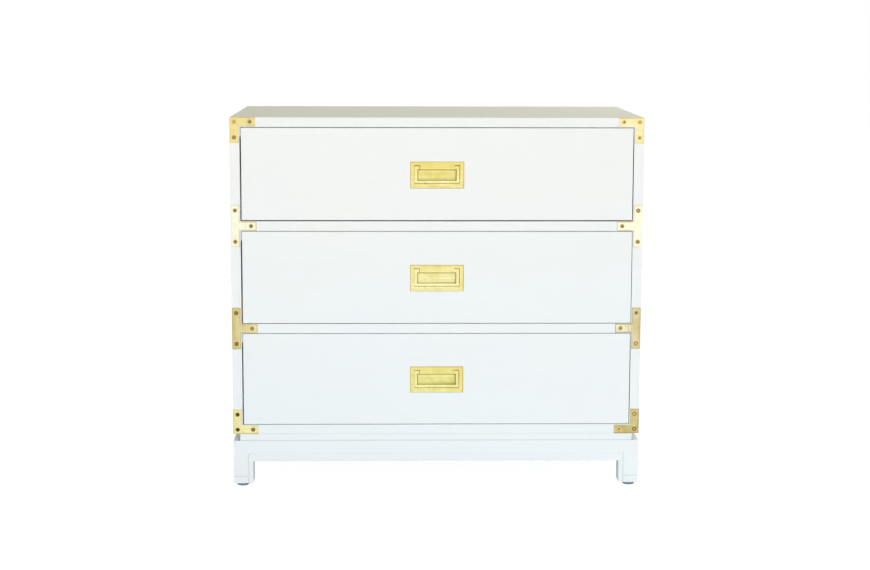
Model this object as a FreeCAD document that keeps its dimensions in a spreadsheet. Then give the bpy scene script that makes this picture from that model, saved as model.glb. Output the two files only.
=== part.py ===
"""Campaign chest of three drawers on a low stand, as a parametric FreeCAD document.

Frame: millimetres, +Z up, the drawers face -Y, origin on the floor under the chest's centre.
"""

import FreeCAD, Part
import math
import operator
import os
from types import SimpleNamespace

import Sketcher
from FreeCAD import Placement, Rotation, Vector

SIZES = {
    # Case: outside sizes and boards
    "case_width": 813.0,
    "case_depth": 457.0,
    "opening_height": 185.5,
    "top_thickness": 19.0,
    "side_thickness": 19.0,
    "bottom_thickness": 19.0,
    "edge_round": 1.0,
    # Case: rails between the drawers, back panel, and how both are let in
    "divider_thickness": 19.0,
    "divider_depth": 64.0,
    "rear_rail_depth": 50.0,
    "dado_depth": 6.0,
    "back_thickness": 6.0,
    "back_rebate": 8.0,
    "joint_play": 0.1,
    # Case: runners under the drawer sides, guides beside them, kickers above them
    "ledge_width": 45.0,
    "guide_height": 50.0,
    "guide_thickness": 11.5,
    "kicker_height": 22.0,
    "kicker_width": 30.0,
    "stop_gap": 0.5,
    # Flush brass brackets and their screws
    "bracket_thickness": 1.5,
    "bracket_width": 17.5,
    "bracket_corner_round": 1.5,
    "corner_arm": 50.0,
    "tee_bar": 83.0,
    "tee_arm": 50.5,
    "inlay_play": 0.1,
    "screw_end": 10.5,
    "screw_head_radius": 4.0,
    "screw_head_height": 2.2,
    "screw_sink": 0.3,
    "screw_shank_radius": 1.75,
    "screw_length": 18.0,
    "screw_tip": 4.0,
    "screw_play": 0.15,
    "slot_length": 4.6,
    "slot_width": 1.0,
    "slot_depth": 1.3,
    # Plinth between the case and the stand
    "plinth_height": 14.0,
    "plinth_rail_width": 60.0,
    "plinth_side_setback": 13.5,
    "plinth_face_setback": 1.0,
    # Stand
    "stand_height": 87.0,
    "apron_height": 42.5,
    "apron_thickness": 22.0,
    "leg_width": 39.0,
    "foot_round": 1.5,
    "quirk": 0.8,
    "moulding_drop": 1.6,
    "apron_moulding_width": 16.0,
    "apron_moulding_crown": 4.0,
    "leg_moulding_width": 9.5,
    "leg_moulding_crown": 2.4,
    "foot_line_height": 14.0,
    "foot_line_width": 0.6,
    "foot_line_depth": 0.4,
    "tenon_length": 15.0,
    "tenon_thickness": 8.0,
    "tenon_shoulder": 7.0,
    "block_reach": 36.0,
    "block_height": 25.0,
    # Glides under the legs
    "glide_thickness": 6.5,
    "glide_radius": 12.0,
    "glide_round": 2.0,
    "glide_inset": 17.0,
    "glide_nail_radius": 1.5,
    "glide_nail_length": 14.0,
    # Gaps around the drawer fronts
    "bottom_gap_left": 2.5,
    "bottom_gap_right": 1.3,
    "bottom_gap_under": 0.9,
    "bottom_gap_over": 1.1,
    "middle_gap_left": 2.9,
    "middle_gap_right": 0.95,
    "middle_gap_under": 1.1,
    "middle_gap_over": 1.1,
    "top_gap_left": 2.9,
    "top_gap_right": 1.7,
    "top_gap_under": 2.4,
    "top_gap_over": 1.3,
    # Drawer boxes
    "drawer_rear_gap": 26.0,
    "front_thickness": 19.0,
    "front_round": 1.0,
    "box_side_thickness": 12.0,
    "box_back_thickness": 12.0,
    "box_bottom_thickness": 6.0,
    "box_edge_round": 1.5,
    "runner_play": 0.3,
    "guide_play": 1.0,
    "kicker_play": 2.0,
    "groove_depth": 6.0,
    "groove_height": 10.0,
    "groove_play": 0.2,
    "tongue_length": 8.0,
    "tongue_neck": 6.0,
    "tongue_flare": 1.2,
    "pin_narrow": 8.0,
    "pin_flare": 2.5,
    # Flush drawer pulls
    "plate_width": 106.0,
    "plate_height": 52.4,
    "plate_bevel": 0.7,
    "flange_thickness": 2.5,
    "cup_wall": 2.3,
    "cup_depth": 13.0,
    "pull_play": 0.15,
    "pull_drop": 1.2,
    "well_width": 77.0,
    "well_height": 22.0,
    "well_drop": 15.2,
    "well_depth": 10.0,
    "well_round": 1.5,
    "bail_width": 88.4,
    "bail_bar": 5.6,
    "bail_thickness": 4.0,
    "bail_drop": 7.3,
    "bail_corner_round": 1.5,
    "bail_edge_round": 0.6,
    "ear_height": 7.7,
    "ear_length": 9.6,
    "channel_gap": 0.7,
    "ear_gap": 0.5,
    "hinge_radius": 1.0,
    "hinge_play": 0.05,
    "hinge_seat_play": 0.02,
    "hinge_seat": 3.3,
}

OPENINGS = ("bottom", "middle", "top")
DIVIDERS = ("lower", "upper")
DOVETAIL_PINS = 4
SCREW_TWIST = 37  # degrees from one screw's slots to the next one's
SAME_PLACE = 1e-3  # coordinates closer than this are the same

document = FreeCAD.newDocument("campaign_chest")
sheet = document.addObject("Spreadsheet::Sheet", "Sizes")
for row, (alias, amount) in enumerate(SIZES.items(), 1):
    sheet.set(f"A{row}", alias)
    sheet.set(f"B{row}", str(amount))
    sheet.setAlias(f"B{row}", alias)
document.recompute()


# ---------------------------------------------------------------- lengths and bindings


class Length:
    """A length known both as a number and as a formula on the sheet."""

    def __init__(self, value, formula):
        self.value = value
        self.formula = formula

    def joined(self, other, symbol, operate):
        other = length(other)
        return Length(operate(self.value, other.value), f"({self.formula} {symbol} {other.formula})")

    def __add__(self, other):
        return self.joined(other, "+", operator.add)

    def __radd__(self, other):
        return length(other) + self

    def __sub__(self, other):
        return self.joined(other, "-", operator.sub)

    def __rsub__(self, other):
        return length(other) - self

    def __mul__(self, other):
        return self.joined(other, "*", operator.mul)

    def __rmul__(self, other):
        return length(other) * self

    def __truediv__(self, other):
        return self.joined(other, "/", operator.truediv)

    def __neg__(self):
        return 0 - self


def length(amount):
    """Return a plain number as a Length, and a Length as it is."""
    return amount if isinstance(amount, Length) else Length(float(amount), str(float(amount)))


def loose(amount):
    """Return a Length that is drawn where it belongs but is left for the geometry to settle."""
    return Length(amount.value, None)


def bind(thing, path, amount):
    """Tie a property of a document object to a formula on the sheet."""
    thing.setExpression(path, length(amount).formula)


def point(*amounts):
    """Return the present position that three or fewer lengths name."""
    return Vector(*[length(amount).value for amount in amounts])


size = SimpleNamespace(**{name: Length(amount, f"Sizes.{name}") for name, amount in SIZES.items()})

# Heights above the floor and widths that several pieces share
opening_width = size.case_width - 2 * size.side_thickness
opening_pitch = size.opening_height + size.divider_thickness
sides_height = len(OPENINGS) * size.opening_height + len(DIVIDERS) * size.divider_thickness
plinth_base = size.glide_thickness + size.stand_height
case_base = plinth_base + size.plinth_height
sides_base = case_base + size.bottom_thickness
case_top = sides_base + sides_height + size.top_thickness
face = -size.case_depth / 2
strip_front = size.front_thickness + size.stop_gap
strip_rear = size.case_depth - size.back_thickness

# Drawer box, seen from the middle of its opening's floor
drawer_length = size.case_depth - size.back_thickness - size.drawer_rear_gap
front_gaps = {
    "bottom": (size.bottom_gap_left, size.bottom_gap_right, size.bottom_gap_under, size.bottom_gap_over),
    "middle": (size.middle_gap_left, size.middle_gap_right, size.middle_gap_under, size.middle_gap_over),
    "top": (size.top_gap_left, size.top_gap_right, size.top_gap_under, size.top_gap_over),
}
box_half = opening_width / 2 - size.guide_thickness - size.guide_play
box_height = size.opening_height - size.kicker_height - size.kicker_play - size.runner_play
box_inner = box_half - size.box_side_thickness
groove_width = size.box_bottom_thickness + size.groove_play
back_base = size.runner_play + size.groove_height + groove_width
back_height = size.runner_play + box_height - back_base

# Pull, seen from the centre of its plate, which stands over its opening's floor
pull_centre = size.opening_height / 2 - size.pull_drop
bail_half = size.bail_width / 2
bail_top = size.plate_height / 2 - size.bail_drop
ear_inner = bail_half - size.ear_length
ear_base = bail_top - size.ear_height
hinge_height = bail_top - size.ear_height / 2
hinge_depth = size.bail_thickness / 2
well_top = size.plate_height / 2 - size.well_drop
well_base = well_top - size.well_height
bar_top = well_base
bar_base = bar_top - size.bail_bar
channel_half = bail_half + size.channel_gap
channel_top = bail_top + size.ear_gap
channel_base = bar_base - size.channel_gap
channel_depth = size.bail_thickness + size.ear_gap
cup_half = channel_half + size.cup_wall
cup_top = channel_top + size.cup_wall
cup_base = channel_base - size.cup_wall


# ---------------------------------------------------------------- sketches and pieces


class Outline:
    """A sketch on one of a body's origin planes, whose corners are dimensioned from the origin."""

    NORMAL = {"XY": 1, "XZ": -1, "YZ": 1}

    def __init__(self, body, plane, lift):
        self.sketch = body.newObject("Sketcher::SketchObject", "Sketch")
        origin = next(item for item in body.Origin.OriginFeatures if item.Role == plane + "_Plane")
        self.sketch.AttachmentSupport = [(origin, "")]
        self.sketch.MapMode = "FlatFace"
        bind(self.sketch, ".AttachmentOffset.Base.z", self.NORMAL[plane] * length(lift))

    def dimension(self, kind, amount, *where):
        """Hold one measure of the sketch to a formula, unless it is left loose."""
        if amount.formula is None:
            return
        index = self.sketch.addConstraint(Sketcher.Constraint(kind, *where, amount.value))
        self.sketch.setExpression(f"Constraints[{index}]", amount.formula)

    def place(self, line, end, spot):
        """Dimension one end of a line from the sketch's origin."""
        self.dimension("DistanceX", length(spot[0]), -1, 1, line, end)
        self.dimension("DistanceY", length(spot[1]), -1, 1, line, end)

    def polygon(self, corners, arcs=None):
        """Draw a closed outline. arcs names the centre of each side that is an arc."""
        arcs = arcs or {}
        first = self.sketch.GeometryCount
        ends = []
        for index, corner in enumerate(corners):
            start, finish = point(*corner), point(*corners[(index + 1) % len(corners)])
            ends.append(self.side(start, finish, arcs.get(index)))
        for index, corner in enumerate(corners):
            after = (index + 1) % len(corners)
            joint = (first + index, ends[index][1], first + after, ends[after][0])
            self.sketch.addConstraint(Sketcher.Constraint("Coincident", *joint))
            self.place(first + index, ends[index][0], corner)
        for index, centre in arcs.items():
            self.place(first + index, 3, centre)

    def side(self, start, finish, centre):
        """Draw one side and return which of its ends comes first and which last."""
        if centre is None:
            self.sketch.addGeometry(Part.LineSegment(start, finish))
            return 1, 2
        middle = point(*centre)
        angles = [math.atan2((spot - middle).y, (spot - middle).x) for spot in (start, finish)]
        forward = (angles[1] - angles[0]) % (2 * math.pi) < math.pi
        circle = Part.Circle(middle, Vector(0, 0, 1), (start - middle).Length)
        self.sketch.addGeometry(Part.ArcOfCircle(circle, *(angles if forward else angles[::-1])))
        return (1, 2) if forward else (2, 1)

    def circle(self, centre, radius):
        """Draw a circle."""
        disc = Part.Circle(point(*centre), Vector(0, 0, 1), length(radius).value)
        index = self.sketch.addGeometry(disc)
        self.place(index, 3, centre)
        self.dimension("Radius", length(radius), index)


class Piece:
    """A PartDesign body, worked from a blank in its own frame."""

    def __init__(self, label, at=(0, 0, 0), turn=0, about=Vector(0, 1, 0)):
        self.body = document.addObject("PartDesign::Body", label)
        self.body.Label = label
        set_down(self.body, at, turn, about)

    def feature(self, kind, plane, lift, depth, draw):
        """Add a pad or a pocket that fills lift to lift + depth along the plane's axis."""
        outline = Outline(self.body, plane, lift)
        draw(outline)
        made = self.body.newObject("PartDesign::" + kind, kind)
        made.Profile = outline.sketch
        bind(made, "Length", depth)
        made.Reversed = (outline.NORMAL[plane] < 0) == (kind == "Pad")
        return made

    def pad(self, plane, lift, depth, *polygons, **options):
        """Add material over closed outlines."""
        self.feature("Pad", plane, lift, depth, lambda sketch: draw_all(sketch, polygons, options))

    def pocket(self, plane, lift, depth, *polygons, **options):
        """Take material away over closed outlines, and make sure that some went."""
        self.cut_away(plane, lift, depth, lambda sketch: draw_all(sketch, polygons, options))

    def rod(self, plane, lift, depth, centre, radius):
        """Add a round rod."""
        self.feature("Pad", plane, lift, depth, lambda sketch: sketch.circle(centre, radius))

    def bore(self, plane, lift, depth, centre, radius):
        """Drill a round hole."""
        self.cut_away(plane, lift, depth, lambda sketch: sketch.circle(centre, radius))

    def cut_away(self, plane, lift, depth, draw):
        """Make a pocket and compare the volume before and after."""
        document.recompute()
        before = self.body.Shape.Volume
        self.feature("Pocket", plane, lift, depth, draw)
        document.recompute()
        if not self.body.Shape.Volume < before:
            raise RuntimeError(f"a pocket in {self.body.Label} cuts nothing")

    def dress(self, kind, property_name, amount, *places):
        """Round or bevel the edges that lie at the given coordinates."""
        document.recompute()
        tip = self.body.Tip
        made = self.body.newObject("PartDesign::" + kind, kind)
        made.Base = (tip, edges_at(tip.Shape, places))
        bind(made, property_name, amount)

    def round(self, radius, *places):
        """Round edges over."""
        self.dress("Fillet", "Radius", radius, *places)

    def bevel(self, amount, *places):
        """Bevel edges."""
        self.dress("Chamfer", "Size", amount, *places)


def draw_all(sketch, polygons, options):
    """Draw each outline in one sketch."""
    for corners in polygons:
        sketch.polygon(corners, options.get("arcs"))


def set_down(thing, at, turn=0, about=Vector(0, 0, 1)):
    """Turn an object about an axis through its origin and tie its place to the sheet."""
    thing.Placement = Placement(Vector(), Rotation(about, turn))
    for axis, amount in zip("xyz", at):
        bind(thing, ".Placement.Base." + axis, amount)


def box(low, high):
    """Return the corners of a rectangle."""
    return [low, (high[0], low[1]), high, (low[0], high[1])]


def edges_at(shape, places):
    """Name the edges that keep to the coordinates of any one of the given places."""

    def keeps_to(bounds, place):
        for axis, amount in place.items():
            low, high = (getattr(bounds, axis.upper() + end) for end in ("Min", "Max"))
            if max(abs(low - length(amount).value), abs(high - length(amount).value)) > SAME_PLACE:
                return False
        return True

    names = [
        f"Edge{number}"
        for number, edge in enumerate(shape.Edges, 1)
        if any(keeps_to(edge.BoundBox, place) for place in places)
    ]
    if not names:
        raise RuntimeError(f"no edge lies at {places}")
    return names


def combined(kind, label, base, tool):
    """Cut one object by another, or keep what both share."""
    made = document.addObject("Part::" + kind, label)
    made.Base = base
    made.Tool = tool
    return made


def compound(label, parts):
    """Gather several objects into one without joining them."""
    made = document.addObject("Part::Compound", label)
    made.Links = parts
    return made


def mirrored(label, source, normal=Vector(1, 0, 0)):
    """Return the mirror image of an object across a plane through the origin."""
    made = document.addObject("Part::Mirroring", label)
    made.Source = source
    made.Normal = normal
    return made


def group(label, shape, placements):
    """Repeat a small shape as separate solids of one object."""
    made = document.addObject("Part::Feature", label)
    made.Shape = Part.makeCompound([shape.transformed(spot.toMatrix()) for spot in placements])
    made.Placement = Placement()
    return made


PIECES = {}


def keep(label, thing):
    """Enter a finished piece under the name that its file gets."""
    thing.Label = label
    PIECES[label] = thing
    return thing


# ---------------------------------------------------------------- brackets and screws


def corner_outline(play=0):
    """Outline of a corner bracket whose arms run along +X and -Z from its corner."""
    reach, inner = size.corner_arm + play, size.bracket_width + play
    return [(-play, play), (reach, play), (reach, -inner), (inner, -inner), (inner, -reach), (-play, -reach)]


def tee_outline(play=0):
    """Outline of a T bracket whose bar stands at x = 0 and whose arm runs along +X."""
    reach, inner = size.tee_arm + play, size.bracket_width + play
    bar, arm = size.tee_bar / 2 + play, size.bracket_width / 2 + play
    upper = [(-play, bar), (inner, bar), (inner, arm), (reach, arm)]
    lower = [(reach, -arm), (inner, -arm), (inner, -bar), (-play, -bar)]
    return upper + lower


def corner_screws():
    """Places of a corner bracket's screws."""
    middle = size.bracket_width / 2
    far = size.corner_arm - size.screw_end
    return [(middle, -middle), (far, -middle), (middle, -far)]


def tee_screws():
    """Places of a T bracket's screws."""
    middle = size.bracket_width / 2
    far = size.tee_bar / 2 - size.screw_end
    return [(middle, far), (size.tee_arm - size.screw_end, 0), (middle, -far)]


def divider_centre(index):
    """Height of the middle of a divider rail above the floor."""
    return sides_base + (index + 1) * opening_pitch - size.divider_thickness / 2


def bracket_sites():
    """Name, outline, screws, place and turn of every bracket."""
    left, right = -size.case_width / 2, size.case_width / 2
    corners = [
        ("top_left", left, case_top, 0),
        ("top_right", right, case_top, 90),
        ("bottom_right", right, case_base, 180),
        ("bottom_left", left, case_base, 270),
    ]
    for name, across, height, turn in corners:
        yield "bracket_corner_" + name, corner_outline, corner_screws, (across, face, height), turn
    for index, level in enumerate(DIVIDERS):
        for side, across, turn in (("left", left, 0), ("right", right, 180)):
            spot = (across, face, divider_centre(index))
            yield f"bracket_tee_{level}_{side}", tee_outline, tee_screws, spot, turn


def screw_profile(play=0):
    """A countersunk screw from its head's rim to its point, as pairs of radius and depth."""
    sink, end = size.screw_sink.value, size.screw_length.value
    shank = size.screw_shank_radius.value + play
    head = (size.screw_head_radius.value + play, sink)
    neck = (shank, sink + size.screw_head_height.value)
    return [head, neck, (shank, end - size.screw_tip.value), (0, end + play)]


def turned(profile):
    """Spin pairs of radius and depth about the +Y axis."""
    corners = [Vector(radius, depth, 0) for radius, depth in profile]
    wire = Part.makePolygon(corners + corners[:1])
    return Part.Face(wire).revolve(Vector(), Vector(0, 1, 0), 360)


def screw():
    """A cross-slotted screw along +Y, sunk a little below the bracket's face at y = 0."""
    sink = size.screw_sink.value
    solid = turned([(0, sink)] + screw_profile())
    across, deep, wide = size.slot_length.value, size.slot_depth.value, size.slot_width.value
    for slot in ((across, wide), (wide, across)):
        corner = Vector(-slot[0] / 2, sink, -slot[1] / 2)
        solid = solid.cut(Part.makeBox(slot[0], deep, slot[1], corner))
    return solid


def screw_hole():
    """The hole that a screw needs, open well past the bracket's face."""
    profile = screw_profile(size.screw_play.value)
    outside = -size.bracket_thickness.value
    return turned([(0, outside), (profile[0][0], outside)] + profile)


def build_brackets():
    """Make the brackets and screws, and return the tool that lets both into the boards."""
    seats, places, plates = [], [], []
    for label, outline, screws, spot, turn in bracket_sites():
        seat = Piece("seat_of_" + label, spot, turn)
        seat.pad("XZ", -size.bracket_thickness, 2 * size.bracket_thickness, outline(size.inlay_play))
        seats.append(seat.body)
        plate = Piece(label + "_plate", spot, turn)
        plate.pad("XZ", 0, size.bracket_thickness, outline())
        tips = [{"x": across, "z": up} for across, up in outer_corners(outline())]
        plate.round(size.bracket_corner_round, *tips)
        plates.append((label, plate.body))
        frame = Placement(point(*spot), Rotation(Vector(0, 1, 0), turn))
        for across, up in screws():
            twist = Rotation(Vector(0, 1, 0), SCREW_TWIST * len(places))
            places.append(frame.multiply(Placement(point(across, 0, up), twist)))
    holes = group("screw_holes", screw_hole(), places)
    for label, blank in plates:
        keep(label, combined("Cut", label, blank, holes))
    keep("bracket_screws", group("bracket_screws", screw(), places))
    return compound("let_in", seats + [holes])


def outer_corners(corners):
    """Pick the corners of a clockwise outline that point outwards."""
    picked = []
    for index, corner in enumerate(corners):
        before, after = corners[index - 1], corners[(index + 1) % len(corners)]
        here = point(*corner)
        if (here - point(*before)).cross(point(*after) - here).z < 0:
            picked.append(corner)
    return picked


# ---------------------------------------------------------------- case


def build_case(let_in):
    """Make the boards of the case, with the brackets let into their front edges."""
    half = size.case_width / 2
    rebate_half = opening_width / 2 + size.back_rebate
    rebate_front = size.case_depth - size.back_thickness

    for label, base, thickness, outside, rebate in (
        ("top_panel", case_top - size.top_thickness, size.top_thickness, size.top_thickness, "low"),
        ("bottom_panel", case_base, size.bottom_thickness, 0, "high"),
    ):
        board = Piece(label + "_board", (0, face, base))
        board.pad("XY", 0, thickness, box((-half, 0), (half, size.case_depth)))
        corners = [{"x": side, "y": end} for side in (-half, half) for end in (0, size.case_depth)]
        board.round(size.edge_round, {"z": outside}, *corners)
        lift = 0 if rebate == "low" else thickness - size.back_rebate
        recess = box((-rebate_half, rebate_front), (rebate_half, size.case_depth))
        board.pocket("XY", lift, size.back_rebate, recess)
        keep(label, combined("Cut", label, board.body, let_in))

    side = Piece("side_board", (-half, face, sides_base))
    side.pad("XY", 0, sides_height, box((0, 0), (size.side_thickness, size.case_depth)))
    side.round(size.edge_round, {"x": 0, "y": 0}, {"x": 0, "y": size.case_depth})
    rebate_edge = size.side_thickness - size.back_rebate
    recess = box((rebate_edge, rebate_front), (size.side_thickness, size.case_depth))
    side.pocket("XY", 0, sides_height, recess)
    dado_edge = size.side_thickness - size.dado_depth
    for index in range(len(DIVIDERS)):
        base = (index + 1) * opening_pitch - size.divider_thickness
        top = (index + 1) * opening_pitch
        dado = box((dado_edge, base), (size.side_thickness, top))
        side.pocket("XZ", 0, size.case_depth, dado)
    keep("side_panel_left", combined("Cut", "side_panel_left", side.body, let_in))
    other = mirrored("side_board_right", side.body)
    keep("side_panel_right", combined("Cut", "side_panel_right", other, let_in))

    back_half = rebate_half - size.joint_play
    low = size.joint_play - size.back_rebate
    back = Piece("back_panel", (0, face, sides_base))
    outline = box((-back_half, low), (back_half, sides_height - low))
    back.pad("XZ", rebate_front, size.back_thickness, outline)
    keep("back_panel", back.body)


def build_rails(let_in):
    """Make the rails between the drawers, at the front and at the back."""
    rail_half = opening_width / 2 + size.dado_depth - size.joint_play
    rear = strip_rear - size.rear_rail_depth
    rear_rails = []
    for index, level in enumerate(DIVIDERS):
        base = sides_base + (index + 1) * opening_pitch - size.divider_thickness
        rail = Piece(f"divider_board_{level}", (0, face, base))
        rail.pad("XY", 0, size.divider_thickness, box((-rail_half, 0), (rail_half, size.divider_depth)))
        label = f"divider_rail_{level}"
        keep(label, combined("Cut", label, rail.body, let_in))
        behind = Piece(f"rear_rail_{level}", (0, face, base))
        outline = box((-rail_half, rear), (rail_half, strip_rear))
        behind.pad("XY", 0, size.divider_thickness, outline)
        rear_rails.append(behind.body)
    keep("rear_rails", compound("rear_rails", rear_rails))


def build_strips():
    """Make each opening's pair of runners with guides, and its pair of kickers."""
    wall = -opening_width / 2
    ledge_rear = strip_rear - size.rear_rail_depth
    for index, opening in enumerate(OPENINGS):
        floor = sides_base + index * opening_pitch
        runner = Piece(f"runner_left_{opening}", (0, face, floor))
        guide = box((wall, strip_front), (wall + size.guide_thickness, strip_rear))
        runner.pad("XY", 0, size.guide_height, guide)
        label = "guides_" + opening
        if index:
            outer = wall - size.dado_depth + size.joint_play
            ledge = box((outer, size.divider_depth), (wall + size.ledge_width, ledge_rear))
            runner.pad("XY", -size.divider_thickness, size.divider_thickness, ledge)
            label = "runners_" + opening
        other = mirrored(f"runner_right_{opening}", runner.body)
        keep(label, compound(label, [runner.body, other]))

        kicker = Piece(f"kicker_left_{opening}", (0, face, floor))
        outline = box((wall, strip_front), (wall + size.kicker_width, strip_rear))
        kicker.pad("XY", size.opening_height - size.kicker_height, size.kicker_height, outline)
        other = mirrored(f"kicker_right_{opening}", kicker.body)
        label = "kickers_" + opening
        keep(label, compound(label, [kicker.body, other]))


# ---------------------------------------------------------------- plinth and stand


def build_plinth():
    """Make the low frame that sets the case off from its stand."""
    half = size.case_width / 2 - size.plinth_side_setback
    near, far = size.plinth_face_setback, size.case_depth - size.plinth_face_setback
    width = size.plinth_rail_width
    rails = (
        ("plinth_front", box((-half, near), (half, near + width))),
        ("plinth_rear", box((-half, far - width), (half, far))),
    )
    for label, outline in rails:
        rail = Piece(label, (0, face, plinth_base))
        rail.pad("XY", 0, size.plinth_height, outline)
        keep(label, rail.body)
    end = Piece("plinth_end_left", (0, face, plinth_base))
    end.pad("XY", 0, size.plinth_height, box((-half, near + width), (-half + width, far - width)))
    keep("plinth_ends", compound("plinth_ends", [end.body, mirrored("plinth_end_right", end.body)]))


def moulding_centre(width, crown):
    """Return how deep the centre of a moulding's curve lies, and how far from the moulded edge."""
    near, far, rise = size.quirk, size.moulding_drop, width - crown
    deep = (far * far - near * near + rise * rise - crown * crown) / (2 * (far - near))
    return deep, rise


def build_stand():
    """Make the aprons and the four legs, which stand at the case's own corners."""
    base = size.glide_thickness + size.stand_height - size.apron_height
    long_half = size.case_width / 2 - size.leg_width
    short_half = size.case_depth / 2 - size.leg_width
    for label, half, setback, turn in (
        ("apron_front", long_half, size.case_depth / 2, 0),
        ("apron_right", short_half, size.case_width / 2, 90),
        ("apron_rear", long_half, size.case_depth / 2, 180),
        ("apron_left", short_half, size.case_width / 2, 270),
    ):
        radians = math.radians(turn)
        outward = (round(math.sin(radians)), -round(math.cos(radians)))
        spot = (outward[0] * setback, outward[1] * setback, base)
        keep(label, apron(label, half, spot, turn))
    corners = (
        ("leg_front_left", -1, -1, 0),
        ("leg_front_right", 1, -1, 90),
        ("leg_rear_right", 1, 1, 180),
        ("leg_rear_left", -1, 1, 270),
    )
    places = []
    for label, across, along, turn in corners:
        corner = (across * size.case_width / 2, along * size.case_depth / 2)
        keep(label, leg(label, (*corner, size.glide_thickness), turn))
        places.append(Placement(point(*corner, 0), Rotation(Vector(0, 0, 1), turn)))
    keep("corner_blocks", group("corner_blocks", corner_block(), places))
    keep("foot_glides", group("foot_glides", glide(), places))


def apron(label, half, spot, turn):
    """An apron between two legs: front face at y = 0, lower edge at z = 0."""
    piece = Piece(label, spot, turn, Vector(0, 0, 1))
    reach, deep = size.apron_moulding_width, size.apron_thickness
    section = [
        (loose(size.moulding_drop), 0),
        (deep, 0),
        (deep, size.apron_height),
        (0, size.apron_height),
        (0, reach),
        (size.quirk, reach),
    ]
    centre = moulding_centre(reach, size.apron_moulding_crown)
    piece.pad("YZ", -half, 2 * half, section, arcs={5: centre})
    near = size.apron_thickness / 2 - size.tenon_thickness / 2
    shoulder = size.tenon_shoulder
    tenon = box((near, shoulder), (near + size.tenon_thickness, size.apron_height - shoulder))
    tongue = size.tenon_length - size.joint_play
    piece.pad("YZ", half, tongue, tenon)
    piece.pad("YZ", -half - tongue, tongue, tenon)
    return piece.body


def leg(label, spot, turn):
    """A leg whose outer corner is at x = y = 0, moulded along the inner edges of its faces."""
    wide, tall = size.leg_width, size.stand_height
    low = tall - size.apron_height
    blank = Piece(label + "_blank")
    blank.pad("XY", 0, tall, box((0, 0), (wide, wide)))
    blank.round(size.edge_round, {"x": 0, "y": 0})
    blank.round(size.foot_round, {"x": wide, "z": 0}, {"y": wide, "z": 0})
    near = size.apron_thickness / 2 - size.tenon_thickness / 2 - size.joint_play
    mortise = (near, low + size.tenon_shoulder - size.joint_play)
    mortise_end = (size.apron_thickness - near, tall - size.tenon_shoulder + size.joint_play)
    hole = box(mortise, mortise_end)
    blank.pocket("YZ", wide - size.tenon_length, size.tenon_length, hole)
    blank.pocket("XZ", wide - size.tenon_length, size.tenon_length, hole)
    nail = size.glide_nail_radius + size.joint_play
    blank.bore("XY", 0, size.glide_nail_length, (size.glide_inset, size.glide_inset), nail)

    reach, top = size.leg_moulding_width, low + size.apron_moulding_width
    curve_depth, curve_rise = moulding_centre(reach, size.leg_moulding_crown)
    upright = Piece(label + "_upright_cut")
    section = [
        (wide - reach, 0),
        (wide - reach, size.quirk),
        (wide, loose(size.moulding_drop)),
        (wide, 0),
    ]
    centre = (wide - curve_rise, curve_depth)
    upright.pad("XY", 0, top, section, arcs={1: centre})
    curve_depth, curve_rise = moulding_centre(size.apron_moulding_width, size.apron_moulding_crown)
    level = Piece(label + "_level_cut")
    section = [
        (0, top),
        (size.quirk, top),
        (loose(size.moulding_drop), low),
        (size.moulding_drop, 0),
        (0, 0),
    ]
    centre = (curve_depth, low + curve_rise)
    level.pad("YZ", wide - reach, reach, section, arcs={1: centre})
    front = combined("Common", label + "_front_cut", upright.body, level.body)
    flank = mirrored(label + "_flank_cut", front, Vector(1, -1, 0))
    line = Piece(label + "_foot_line")
    deep = size.foot_line_depth
    around = box((0, 0), (wide, deep)), box((0, deep), (deep, wide))
    line.pad("XY", size.foot_line_height, size.foot_line_width, *around)
    made = combined("Cut", label, blank.body, compound(label + "_cuts", [front, flank, line.body]))
    set_down(made, spot, turn)
    return made


def corner_block():
    """A glue block behind a leg, against the backs of both aprons, in a leg's own frame."""
    wide, back = size.leg_width.value, size.apron_thickness.value
    far = wide + size.block_reach.value
    high = plinth_base.value
    outline = [(wide, back), (far, back), (back, far), (back, wide), (wide, wide)]
    corners = [Vector(across, along, high - size.block_height.value) for across, along in outline]
    floor = Part.Face(Part.makePolygon(corners + corners[:1]))
    return floor.extrude(Vector(0, 0, size.block_height.value))


def glide():
    """A glide with its nail, in a leg's own frame."""
    radius, high = size.glide_radius.value, size.glide_thickness.value
    middle = Vector(size.glide_inset.value, size.glide_inset.value, 0)
    disc = Part.makeCylinder(radius, high, middle)
    rim = [edge for edge in disc.Edges if edge.BoundBox.ZMax < high / 2]
    disc = disc.makeFillet(size.glide_round.value, rim)
    nail_length = size.glide_nail_length.value - size.joint_play.value
    nail = Part.makeCylinder(size.glide_nail_radius.value, nail_length, middle + Vector(0, 0, high))
    return disc.fuse(nail).removeSplitter()


# ---------------------------------------------------------------- drawers


def tongue_outline(play=0):
    """The flared tongue on a drawer side's front end, with its tip at y = 0."""
    middle = size.box_side_thickness / 2
    neck = size.tongue_neck / 2 + play
    tip = neck + size.tongue_flare
    far = size.tongue_length
    return [(middle - tip, 0), (middle + tip, 0), (middle + neck, far), (middle - neck, far)]


def dovetail_pins(play=0):
    """The pins of a drawer back, seen along X, with the back's rear face at y = 0."""
    deep = size.box_back_thickness
    pitch = back_height / DOVETAIL_PINS
    outlines = []
    for index in range(DOVETAIL_PINS):
        centre = back_base - size.runner_play + (index + 0.5) * pitch
        narrow = size.pin_narrow / 2 + play
        broad = narrow + size.pin_flare
        rear = [(0, centre - narrow), (0, centre + narrow)]
        inside = [(-deep, centre + broad), (-deep, centre - broad)]
        outlines.append(rear + inside)
    return outlines


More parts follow.
